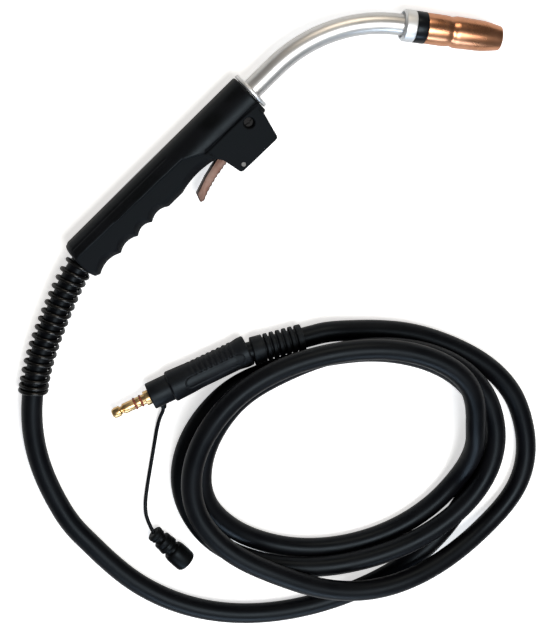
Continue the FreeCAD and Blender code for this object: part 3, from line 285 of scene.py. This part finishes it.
def coil_points():
    """Control points all round the coil. They stand a little outside the turn, because a spline with
    such points runs inside them. Towards its two ends they come back to the line itself."""
    full = 1 / math.cos(math.radians(COIL_STEP / 2)) - 1
    points = []
    for step in range(int((LAST_ANGLE - FIRST_ANGLE) / COIL_STEP) + 1):
        angle = FIRST_ANGLE + step * COIL_STEP
        share = min(1.0, (angle - FIRST_ANGLE) / RUN_IN, (LAST_ANGLE - angle) / RUN_IN)
        points.append(coil_point(angle, 1 + full * share))
    return points


print("coil turns:", round((LAST_ANGLE - FIRST_ANGLE) / 360, 2))

# %% The connector's axis, from the front of its collar towards the pin
CONNECTOR_PLACE = (-229.4, -123.2, 13.3)
CONNECTOR_TURN = math.radians(160)
CONNECTOR_AHEAD = Vector((math.cos(CONNECTOR_TURN), math.sin(CONNECTOR_TURN), 0))
CONNECTOR_ASIDE = Vector((-CONNECTOR_AHEAD.y, CONNECTOR_AHEAD.x, 0))


def on_connector(along, aside=0.0):
    return at(*CONNECTOR_PLACE) + (CONNECTOR_AHEAD * along + CONNECTOR_ASIDE * aside) * MM


# %% The rubber tail's axis: the cable bends a little where it leaves the shells
BEND_START = -68
BEND_RADIUS = 94
TAIL_BEND = math.radians(11)
TAIL_TURN = CONNECTOR_TURN - TAIL_BEND
TAIL_AHEAD = Vector((math.cos(TAIL_TURN), math.sin(TAIL_TURN), 0))
TAIL_START = -5.8
TAIL_COLLAR = 9.8
TAIL_RINGS = 5
TAIL_PITCH = 5.3
TAIL_GAP = 1.4
TAIL_LIP = 5.2
TAIL_END = TAIL_START - TAIL_COLLAR - TAIL_GAP - TAIL_PITCH * TAIL_RINGS - TAIL_LIP


def on_tail(along):
    root = on_connector(BEND_START - BEND_RADIUS * math.sin(TAIL_BEND),
                        BEND_RADIUS * (1 - math.cos(TAIL_BEND)))
    return root + TAIL_AHEAD * along * MM


print("tail length:", round(TAIL_START - TAIL_END, 1), "mm")


# %% The cable as one smooth tube
def cord_curve(name, points, radius, finish):
    data = bpy.data.curves.new(name, "CURVE")
    data.dimensions = "3D"
    data.resolution_u = 6
    data.bevel_depth = radius * MM
    data.bevel_resolution = 8
    data.use_fill_caps = True
    spline = data.splines.new("NURBS")
    spline.points.add(len(points) - 1)
    for spot, place in zip(spline.points, points):
        spot.co = (*place, 1)
    spline.order_u = 3
    spline.use_endpoint_u = True
    data.materials.append(finish)
    piece = bpy.data.objects.new(name, data)
    bpy.context.scene.collection.objects.link(piece)
    return piece


def centre_line(piece):
    """Points along a curve's own line, read from the curve without its thickness."""
    bare = piece.data.copy()
    bare.bevel_depth = 0
    holder = bpy.data.objects.new("line", bare)
    mesh = bpy.data.meshes.new_from_object(holder)
    points = [vertex.co.copy() for vertex in mesh.vertices]
    bpy.data.objects.remove(holder)
    bpy.data.meshes.remove(mesh)
    bpy.data.curves.remove(bare)
    return points


def line_length(points):
    return sum((b - a).length for a, b in zip(points, points[1:]))


def corner_reach(start, leaving, end, arriving):
    """How far the two corners of a double bend lie from its ends."""
    gap, both = end - start, leaving + arriving
    a, b, c = both.dot(both) - 4, -2 * gap.dot(both), gap.dot(gap)
    return (-b - math.sqrt(b * b - 4 * a * c)) / (2 * a)


LEAD_IN = 2 * CABLE_RADIUS
STRAIGHT_RUN = 27
TAIL_LEAD = 6
coil = coil_points()
leaving = coil_ahead(FIRST_ANGLE, 0.01)
arriving = coil_ahead(LAST_ANGLE, -0.01)
tail_mouth = on_tail(TAIL_END - TAIL_LEAD)
reach = corner_reach(coil[-1], arriving, tail_mouth, TAIL_AHEAD)
cable_points = ([at(*point) for point in CABLE_ROUTE]
                + [coil[0] - leaving * (LEAD_IN + STRAIGHT_RUN) * MM, coil[0] - leaving * LEAD_IN * MM]
                + coil + [coil[-1] + arriving * reach, tail_mouth - TAIL_AHEAD * reach,
                          tail_mouth, on_tail(TAIL_END)])
cable = cord_curve("cable", cable_points, CABLE_RADIUS, cable_rubber)
cable_line = centre_line(cable)
print("cable length:", round(line_length(cable_line), 3), "m")

# %% [markdown]
# ## Control lead
# A thin lead leaves the connector's collar through a small boot and runs over the table to its own plug.

# %% The thin lead
LEAD_RADIUS = 1.6
LEAD_ROUTE = [(-226.6, -136, 9.1), (-229.8, -141.3, 7.3), (-237.6, -144.6, 4.6),
              (-246.3, -150.3, 2.4), (-257.4, -158.8, 1.65), (-273.8, -170.8, 1.65),
              (-290, -182.8, 1.65), (-301.5, -192, 3), (-309, -201.5, 6.4)]
SMALL_PLUG_PLACE = (-312, -212, 9.7)
lead_points = [at(*point) for point in LEAD_ROUTE + [SMALL_PLUG_PLACE]]
control_lead = cord_curve("thin_lead", lead_points, LEAD_RADIUS, cable_rubber)
lead_line = centre_line(control_lead)
print("thin lead length:", round(line_length(lead_line), 3), "m")

# %% [markdown]
# ## Support spring
# A spring of black wire keeps the cable from kinking where it leaves the handle. Its coils follow the
# cable's own line, so they bend with it, and its last turns lie close together.

# %% The spring's wire round the cable
SPRING_WIRE = 1.7
SPRING_RADIUS = 10.55
SPRING_PITCH = 7.25
CLOSED_PITCH = 4.2
SPRING_TURNS = 17.5
CLOSED_TURNS = 2.1
SPRING_START = 25.95
SPRING_PHASE = 0.39
SPRING_STEPS = 16


def along_line(points, distance):
    """The place and direction at a distance along a line."""
    for a, b in zip(points, points[1:]):
        step = (b - a).length
        if distance <= step:
            return a + (b - a) * (distance / step), (b - a).normalized()
        distance -= step
    return points[-1], (points[-1] - points[-2]).normalized()


def spring_points(points):
    outwards = 1 / math.cos(math.pi / SPRING_STEPS)
    places = []
    for step in range(int(SPRING_TURNS * SPRING_STEPS) + 1):
        turns = step / SPRING_STEPS
        open_turns = min(turns, SPRING_TURNS - CLOSED_TURNS)
        distance = SPRING_START + SPRING_PITCH * open_turns + CLOSED_PITCH * (turns - open_turns)
        centre, ahead = along_line(points, distance * MM)
        side = Vector((0, 0, 1)).cross(ahead).normalized()
        angle = 2 * math.pi * (turns + SPRING_PHASE)
        reach = side * math.cos(angle) + ahead.cross(side) * math.sin(angle)
        places.append(centre + reach * SPRING_RADIUS * MM * outwards)
    return places


support_spring = cord_curve("support_spring", spring_points(cable_line), SPRING_WIRE, black_spring_steel)
support_spring.data.resolution_u = 4
support_spring.data.bevel_resolution = 4
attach(support_spring, "torch")
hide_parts("cable_support_spring")
print("spring wire:", round(line_length(centre_line(support_spring)), 2), "m")

# %% [markdown]
# ## Modelling helpers
# Round pieces start as a circle that is extruded along the axis and scaled at each station, as on a
# lathe. Flat pieces start as an outline that is extruded upwards. Both get their edges bevelled.

# %% Starting, finishing and placing a piece
MERGE_WITHIN = 0.005
SHARP_EDGE = 30


def deselect():
    if bpy.context.object and bpy.context.object.mode != "OBJECT":
        bpy.ops.object.mode_set(mode="OBJECT")
    bpy.ops.object.select_all(action="DESELECT")


def choose(piece):
    deselect()
    piece.select_set(True)
    bpy.context.view_layer.objects.active = piece


def edit(piece):
    choose(piece)
    bpy.ops.object.mode_set(mode="EDIT")
    bpy.ops.mesh.select_all(action="SELECT")


def tidy_mesh(piece):
    edit(piece)
    bpy.ops.mesh.remove_doubles(threshold=MERGE_WITHIN * MM)
    bpy.ops.mesh.normals_make_consistent(inside=False)
    bpy.ops.object.mode_set(mode="OBJECT")


def apply_modifier(piece, kind, **settings):
    modifier = piece.modifiers.new(kind.lower(), kind)
    for name, value in settings.items():
        setattr(modifier, name, value)
    choose(piece)
    bpy.ops.object.modifier_apply(modifier=modifier.name)


def round_edges(piece, width):
    apply_modifier(piece, "BEVEL", width=width * MM, segments=3, limit_method="ANGLE",
                   angle_limit=math.radians(SHARP_EDGE), harden_normals=False)


def settle(piece, place, turned):
    """Moves a piece from the origin to its place, turned by a rotation matrix, and applies that."""
    piece.matrix_world = Matrix.Translation(place) @ turned
    choose(piece)
    bpy.ops.object.transform_apply(location=True, rotation=True, scale=True)


def place_piece(piece, place, turn=0.0):
    """A turned piece is laid from Z along X first, then turned about Z."""
    settle(piece, place, Matrix.Rotation(turn, 4, "Z") @ Matrix.Rotation(math.pi / 2, 4, "Y"))


def finish_piece(piece, finish, slot, *nodes, body="torch", smooth=35):
    choose(piece)
    bpy.ops.object.shade_smooth_by_angle(angle=math.radians(smooth))
    piece.data.materials.clear()
    piece.data.materials.append(finish)
    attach(piece, body)
    if nodes:
        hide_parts(*nodes)
    print(piece.name, len(piece.data.polygons), "faces")


# %% The lathe
def lathe(name, stations, sides=96, closed=True):
    """A piece turned from stations of (along, radius). A closed profile makes a ring or a tube."""
    deselect()
    bpy.ops.mesh.primitive_circle_add(vertices=sides, radius=stations[0][1] * MM,
                                      location=(0, 0, 0), fill_type="NOTHING")
    piece = bpy.context.object
    piece.name = name
    edit(piece)
    bpy.ops.transform.translate(value=(0, 0, stations[0][0] * MM))
    profile = stations + stations[:1] if closed else stations
    for (along, radius), (next_along, next_radius) in zip(profile, profile[1:]):
        bpy.ops.mesh.extrude_edges_move(
            TRANSFORM_OT_translate={"value": (0, 0, (next_along - along) * MM)})
        ratio = next_radius / radius
        bpy.ops.transform.resize(value=(ratio, ratio, 1), center_override=(0, 0, 0))
    if not closed:
        bpy.ops.mesh.edge_face_add()
        bpy.ops.object.mode_set(mode="OBJECT")
        first = [v.index for v in piece.data.vertices[:sides]]
        bpy.ops.object.mode_set(mode="EDIT")
        bpy.ops.mesh.select_all(action="DESELECT")
        bpy.ops.object.mode_set(mode="OBJECT")
        for index in first:
            piece.data.vertices[index].select = True
        bpy.ops.object.mode_set(mode="EDIT")
        bpy.ops.mesh.edge_face_add()
    bpy.ops.object.mode_set(mode="OBJECT")
    tidy_mesh(piece)
    return piece


print("lathe ready")

# %% [markdown]
# ## Handle
# The handle is moulded in two halves that meet along the middle. Their real shapes, with the finger
# valleys, the flat cheeks and the trigger housing, are in the CAD. A copy is remeshed finely and
# smoothed a little, which gives every edge the small radius of a moulding.

# %% Two moulded halves
SMOOTH_ROUNDS = 3


def moulded_copy(node, name, voxel):
    source = frame["nodes"][node]
    piece = source.copy()
    piece.data = source.data.copy()
    piece.name = name
    piece.parent = None
    piece.matrix_world = Matrix.Identity(4)
    bpy.context.scene.collection.objects.link(piece)
    tidy_mesh(piece)
    apply_modifier(piece, "REMESH", mode="VOXEL", voxel_size=voxel * MM)
    apply_modifier(piece, "SMOOTH", factor=0.5, iterations=SMOOTH_ROUNDS)
    return piece


def beside(spot, line):
    """The distance from a spot to a line of points, both seen from above."""
    ways = []
    for a, b in zip(line, line[1:]):
        step = b - a
        share = min(1.0, max(0.0, (spot - a).dot(step) / step.dot(step)))
        ways.append((spot - a - step * share).length)
    return min(ways)


def press_line(piece, places, lowest, reach, depth):
    """A shallow groove along a line in the upper surface of a piece that stands above the lowest height."""
    line = [place.to_2d() for place in places]
    for vertex in piece.data.vertices:
        if vertex.co.z > lowest * MM and vertex.normal.z > 0.3:
            away = beside(vertex.co.to_2d(), line) / (reach * MM)
            if away < 1:
                vertex.co.z -= depth * MM * (1 - away ** 2)


# The line where the trigger housing stands proud of the barrel, seen from above.
HOUSING_LINE = [(-2.5, -8), (-55.5, -5.2), (-54, -14)]
# The line along the side of the handle above which the barrel is smooth, from its rear to its front.
GRIP_LINE = [(-189, 5.7), (-73.4, 3), (-58.2, -5.9), (1, -5.9)]


def smooth_side(place):
    """Whether a place of the handle, in metres, lies on the smooth barrel above the grip line."""
    x, y = (place.x - REST.x) / MM, (place.y - REST.y) / MM
    for (rear, rear_y), (front, front_y) in zip(GRIP_LINE, GRIP_LINE[1:]):
        if x <= front:
            return y > rear_y + (front_y - rear_y) * (x - rear) / (front - rear)
    return y > GRIP_LINE[-1][1]


HANDLE_VOXEL = 0.6
for side in ("right", "left"):
    half = moulded_copy("handle_shell_" + side, "grip_" + side, HANDLE_VOXEL)
    press_line(half, [at(*spot) for spot in HOUSING_LINE], AXIS_HEIGHT + 9, reach=0.75, depth=0.6)
    finish_piece(half, grip_black, "black_plastic", "handle_shell_" + side, smooth=60)
    half.data.materials.append(barrel_black)
    for face in half.data.polygons:
        face.material_index = int(smooth_side(face.center))

# %% [markdown]
# ## Trigger
# The trigger is a flat lever whose finger edge is serrated. It turns on a cross pin.

# %% A flat piece from an outline
def outline_piece(name, corners, low, high):
    deselect()
    bpy.ops.mesh.primitive_circle_add(vertices=len(corners), radius=1, location=(0, 0, 0),
                                      fill_type="NGON")
    piece = bpy.context.object
    piece.name = name
    for vertex, (x, y) in zip(piece.data.vertices, corners):
        vertex.co = at(x, y, low)
    edit(piece)
    bpy.ops.mesh.extrude_region_move(TRANSFORM_OT_translate={"value": (0, 0, (high - low) * MM)})
    tidy_mesh(piece)
    return piece


TRIGGER_THICK = 9
TRIGGER_LOW = AXIS_HEIGHT - TRIGGER_THICK / 2
TRIGGER_TOP_EDGE = [(-84.9, -28.1), (-77, -25.4), (-70.1, -23), (-62, -21), (-54.5, -19.3),
                    (-46.5, -18.4), (-42.5, -18.8), (-40.2, -24), (-38.8, -34.6), (-40.3, -37.3),
                    (-43.7, -37.3), (-45.2, -34.6), (-46.4, -29), (-50.2, -26.2)]
FINGER_EDGE = [(-50.2, -26.2), (-65.1, -28.8), (-76.9, -32.2), (-85.1, -35.6)]
TEETH = 9
TOOTH = 0.7


def finger_teeth():
    """The serrated finger edge: shallow notches along the line of the edge."""
    points = []
    line = [Vector((x, y, 0)) for x, y in FINGER_EDGE]
    length = line_length(line)
    for number in range(1, 2 * TEETH):
        spot, ahead = along_line(line, length * number / (2 * TEETH))
        out = Vector((ahead.y, -ahead.x, 0)) * (-TOOTH if number % 2 else 0.0)
        points.append((spot.x + out.x, spot.y + out.y))
    return points


trigger = outline_piece("trigger", TRIGGER_TOP_EDGE + finger_teeth() + [(-85.1, -35.6), (-87.4, -34.7)],
                        TRIGGER_LOW, TRIGGER_LOW + TRIGGER_THICK)
round_edges(trigger, 0.5)
finish_piece(trigger, trigger_bronze, "bronze_trigger", "trigger_lever", body="trigger")

# %% [markdown]
# ## Neck end
# A lock ring, the black insulator and the copper nozzle are turned pieces on the bent end of the neck.
# The nozzle's joint tells where it starts and which way it points.

# %% Collar and nozzle pieces
slide = joints["nozzle_pull"]
NOZZLE_START = Vector(slide["pos_m"])
NOZZLE_AHEAD = Vector(slide["axis"])
NOZZLE_TURN = math.atan2(NOZZLE_AHEAD.y, NOZZLE_AHEAD.x)


def nozzle_piece(name, stations, finish, slot, node, bevel, body="torch"):
    piece = lathe(name, stations)
    round_edges(piece, bevel)
    place_piece(piece, NOZZLE_START, NOZZLE_TURN)
    finish_piece(piece, finish, slot, node, body=body)


nozzle_piece("lock_ring", [(-16.5, 8.56), (-16.5, 9.6), (-19, 10.4), (-19, 11.2), (-17.4, 12.75),
                           (-9.6, 12.75), (-9.05, 12.3), (-9.05, 8.56)], satin_aluminium, "bare_aluminium",
             "nozzle_lock_ring", 0.25)
nozzle_piece("insulator", [(-9, 8.56), (-9, 12.6), (0, 12.6), (0, 10.4), (13, 10.4), (13, 7.56),
                           (-8, 7.56), (-8, 8.56)], smooth_black, "black_plastic",
             "nozzle_insulator", 0.3)
nozzle_piece("nozzle", [
    (0.05, 10.46), (0.05, 12.0), (0.5, 12.3), (16, 12.3), (18.6, 12.1), (20.2, 11.7), (21.6, 11.65),
    (23, 12.0), (25, 12.55), (27, 12.6), (36, 12.4), (48, 12.1), (55, 11.0), (62, 9.65), (62.5, 9.2),
    (62.5, 7.95), (55, 8.9), (48, 10.0), (14, 10.46)], polished_copper, "copper", "gas_nozzle", 0.2,
    body="nozzle")
collar = lathe("collar", [(0.02, 8.56), (0.02, 12), (0.8, 12), (0.8, 16.1), (1.2, 16.5), (2.8, 16.5),
                          (3.6, 15.7), (3.6, 8.56)])
round_edges(collar, 0.3)
place_piece(collar, at(0, 0, AXIS_HEIGHT))
finish_piece(collar, satin_aluminium, "bare_aluminium", "front_collar")

# %% [markdown]
# ## Connector
# The connector is a moulded handle of two shells with a rounded collar in front, a brass power pin with
# two seal rings, and a ribbed rubber tail behind.

# %% Turned pieces of the connector
def connector_piece(name, stations, finish, slot, node, bevel):
    piece = lathe(name, stations)
    round_edges(piece, bevel)
    place_piece(piece, on_connector(0), CONNECTOR_TURN)
    finish_piece(piece, finish, slot, node)


connector_piece("pin", [(-30, 6), (-2, 6), (-2, 4.4), (0, 4.4), (0, 5.9), (0.4, 6.2), (4.1, 6.2),
                        (4.5, 5.9), (4.5, 4.4), (7.1, 4.4), (7.1, 3.55), (8.9, 3.55), (8.9, 4.4),
                        (12.5, 4.4), (12.5, 3.55), (14.3, 3.55), (14.3, 4.4), (23.6, 4.4), (24.6, 3.1),
                        (26, 3.1), (27, 4.3), (31.2, 4.3), (33, 3.6), (34, 2.2), (34, 1.6), (0, 1.6),
                        (-30, 1.6)], turned_brass, "brass", "power_pin", bevel=0.12)
SEAL_RADIUS = 4.4
SEAL_THICKNESS = 0.85
for name, along, nodes in (("seal_ring_rear", 8.0, ["pin_seal_rings"]), ("seal_ring_front", 13.4, [])):
    deselect()
    bpy.ops.mesh.primitive_torus_add(major_radius=SEAL_RADIUS * MM, minor_radius=SEAL_THICKNESS * MM,
                                     major_segments=64, minor_segments=16)
    ring = bpy.context.object
    ring.name = name
    place_piece(ring, on_connector(along), CONNECTOR_TURN)
    finish_piece(ring, seal_rubber, "red_rubber", *nodes)
connector_piece("connector_front", [(-18, 6.15), (-18, 11.3), (-0.6, 11.3), (0, 10.7), (0, 4.6),
                                    (-2, 4.6), (-2, 6.15)], moulded_black, "black_plastic",
                "connector_collar", bevel=0.3)


# %% The connector's two shells, the upper one with the line of a panel round its thumb rest
PANEL_REAR = -78.5
PANEL_FRONT = -35.5
PANEL_HALF_WIDTH = 4.5
PANEL_STEPS = 8
SHELL_VOXEL = 0.42


def panel_line():
    """A closed line with two straight sides and two round ends."""
    places = []
    for middle, first in ((PANEL_FRONT, -90), (PANEL_REAR, 90)):
        for step in range(PANEL_STEPS + 1):
            angle = math.radians(first + 180 * step / PANEL_STEPS)
            places.append(on_connector(middle + PANEL_HALF_WIDTH * math.cos(angle),
                                       PANEL_HALF_WIDTH * math.sin(angle)))
    return places + places[:1]


for side in ("upper", "lower"):
    half = moulded_copy("connector_shell_" + side, "shell_" + side, SHELL_VOXEL)
    press_line(half, panel_line(), CONNECTOR_PLACE[2] + 7, reach=0.6, depth=0.5)
    finish_piece(half, moulded_black, "black_plastic", "connector_shell_" + side, smooth=60)

# %% The rubber tail
TAIL_CORE = 9.2
TAIL_RADIUS = 12
RING_WIDE = 3.7
tail_stations = [(TAIL_START, 8.65), (TAIL_START, TAIL_RADIUS), (TAIL_START - TAIL_COLLAR, TAIL_RADIUS),
                 (TAIL_START - TAIL_COLLAR, TAIL_CORE)]
for number in range(TAIL_RINGS):
    start = TAIL_START - TAIL_COLLAR - TAIL_GAP - TAIL_PITCH * number
    tail_stations += [(start, TAIL_CORE), (start - 0.4, TAIL_RADIUS), (start - RING_WIDE + 0.4, TAIL_RADIUS),
                      (start - RING_WIDE, TAIL_CORE)]
tail_stations += [(TAIL_END + TAIL_LIP, TAIL_CORE), (TAIL_END + TAIL_LIP - 0.4, TAIL_RADIUS),
                  (TAIL_END, TAIL_RADIUS), (TAIL_END, 8.65)]
tail = lathe("tail", tail_stations)
round_edges(tail, 0.45)
place_piece(tail, on_tail(0), TAIL_TURN)
finish_piece(tail, tail_rubber, "black_rubber", "cable_strain_relief")

# %% [markdown]
# ## Small plug
# The control plug is a round moulding with a loose ring at its mouth that screws it home.

# %% Turned pieces of the small plug
SMALL_PLUG_TURN = math.radians(-90)


def small_plug_piece(name, stations, finish, node, body="torch", closed=True):
    piece = lathe(name, stations, sides=64, closed=closed)
    round_edges(piece, 0.25)
    place_piece(piece, at(*SMALL_PLUG_PLACE), SMALL_PLUG_TURN)
    finish_piece(piece, finish, "black_plastic", node, body=body)


small_plug_piece("small_nut", [(0, 1.75), (0, 5.4), (1, 7), (3.4, 7), (3.6, 6.2), (4.2, 6.2), (4.4, 6.6),
                               (5.95, 6.6), (5.95, 1.75)], plug_black, "control_plug_nut")
small_plug_piece("small_body", [(6, 3), (6, 5.5), (8.6, 5.5), (9.8, 7.8), (13.4, 7.9), (13.8, 7.4),
                                (14.3, 7.4), (14.7, 8.1), (18.4, 8.4), (19.8, 6.9), (22.7, 6.9),
                                (22.9, 8.35), (28, 8.4), (28, 5.15), (16, 5.15), (16, 3)],
                 plug_black, "control_plug_body", closed=False)
small_plug_piece("small_ring", [(23, 8.45), (23, 8.75), (25, 9.3), (27, 9.6), (37.4, 9.6), (39.2, 9.2),
                                (40, 8.4), (40, 7.6), (28.05, 7.6), (28.05, 8.45)], plug_black,
                 "control_plug_ring", body="plug_ring")

# %% The boot where the lead leaves the connector
lead_start, lead_next = (at(*point) for point in LEAD_ROUTE[:2])
boot = lathe("lead_boot", [(0.1, 1.65), (0.1, 3), (1.1, 3), (5.1, 2.2), (5.1, 1.65)], sides=32)
settle(boot, lead_start, (lead_next - lead_start).to_track_quat("Z", "Y").to_matrix().to_4x4())
finish_piece(boot, cable_rubber, "black_rubber", "control_lead_boot")

# %% [markdown]
# ## CAD pieces that stay
# Screws, pins and everything inside the mouldings keep their CAD shape and get a proper finish.

# %% Finishes of the CAD pieces
KEPT = {
    bare_tube: ["swan_neck_tube"],
    bright_steel: ["wire_liner"],
    dull_steel: ["trigger_pivot_pin"],
    blackened_steel: ["housing_screw"],
    turned_brass: ["neck_block", "union_nut", "cable_crimp_sleeve", "gas_diffuser",
                   "control_plug_contacts"],
    polished_copper: ["neck_conductor_tube", "contact_tip"],
    pale_insulation: ["neck_insulating_sleeve", "switch_plunger"],
    smooth_black: ["trigger_switch"],
    plug_black: ["control_plug_insert"],
    cable_rubber: ["switch_leads", "cable_end_in_handle", "connector_cable_end"],
}
for finish, nodes in KEPT.items():
    for node in nodes:
        kept = frame["nodes"][node]
        kept.data.materials.clear()
        kept.data.materials.append(finish)
        choose(kept)
print("kept CAD pieces:", sum(len(nodes) for nodes in KEPT.values()))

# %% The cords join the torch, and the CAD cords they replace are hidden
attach(cable, "torch")
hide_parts("cable_free_run", "cable_coil")
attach(control_lead, "torch")
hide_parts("control_lead")

# %% [markdown]
# ## Table, light and world
# A white table and a pale room give soft light from all sides, with one large lamp above the torch.

# %% Table
TABLE_SIZE = 12
TABLE_DROP = 0.0002
TABLE_GLOW = 0.6
bpy.ops.mesh.primitive_plane_add(size=TABLE_SIZE, location=(0, 0, -TABLE_DROP))
table = bpy.context.object
table.name = "table"
table_finish, nodes, links, shader = new_finish("white_table")
shader.inputs["Base Color"].default_value = (0.86, 0.86, 0.86, 1)
shader.inputs["Roughness"].default_value = 0.9
shader.inputs["Emission Color"].default_value = (1, 1, 1, 1)
rays = nodes.new("ShaderNodeLightPath")
glow = nodes.new("ShaderNodeMath")
glow.operation = "MULTIPLY"
glow.inputs[1].default_value = TABLE_GLOW
links.new(rays.outputs["Is Camera Ray"], glow.inputs[0])
links.new(glow.outputs[0], shader.inputs["Emission Strength"])
table.data.materials.append(table_finish)

# %% World and lamps
world = bpy.data.worlds.new("room")
bpy.context.scene.world = world
world.use_nodes = True
room = world.node_tree.nodes["Background"]
room.inputs["Color"].default_value = (1, 1, 1, 1)
rays = world.node_tree.nodes.new("ShaderNodeLightPath")
level = world.node_tree.nodes.new("ShaderNodeMapRange")
level.inputs["To Min"].default_value = 0.10
level.inputs["To Max"].default_value = 1.0
world.node_tree.links.new(rays.outputs["Is Camera Ray"], level.inputs["Value"])
world.node_tree.links.new(level.outputs["Result"], room.inputs["Strength"])


def soft_lamp(name, place, aim, width, power, colour):
    data = bpy.data.lights.new(name, "AREA")
    data.color = colour
    data.shape = "RECTANGLE"
    data.size, data.size_y = width
    data.energy = power
    lamp = bpy.data.objects.new(name, data)
    bpy.context.scene.collection.objects.link(lamp)
    lamp.location = place
    lamp.rotation_euler = (Vector(aim) - Vector(place)).to_track_quat("-Z", "Y").to_euler()


soft_lamp("overhead", (-0.1, -0.35, 1.7), (-0.1, -0.1, 0), (1.0, 0.6), 22, (1, 0.99, 0.97))
soft_lamp("window", (-1.1, -1.2, 0.7), (-0.1, -0.2, 0), (1.0, 0.5), 12, (0.72, 0.85, 1))
soft_lamp("warm_side", (1.0, 0.9, 0.8), (0, -0.1, 0), (0.8, 0.5), 6, (1, 0.86, 0.68))

# %% Show colours as they are and finish
bpy.context.scene.view_settings.view_transform = "Standard"
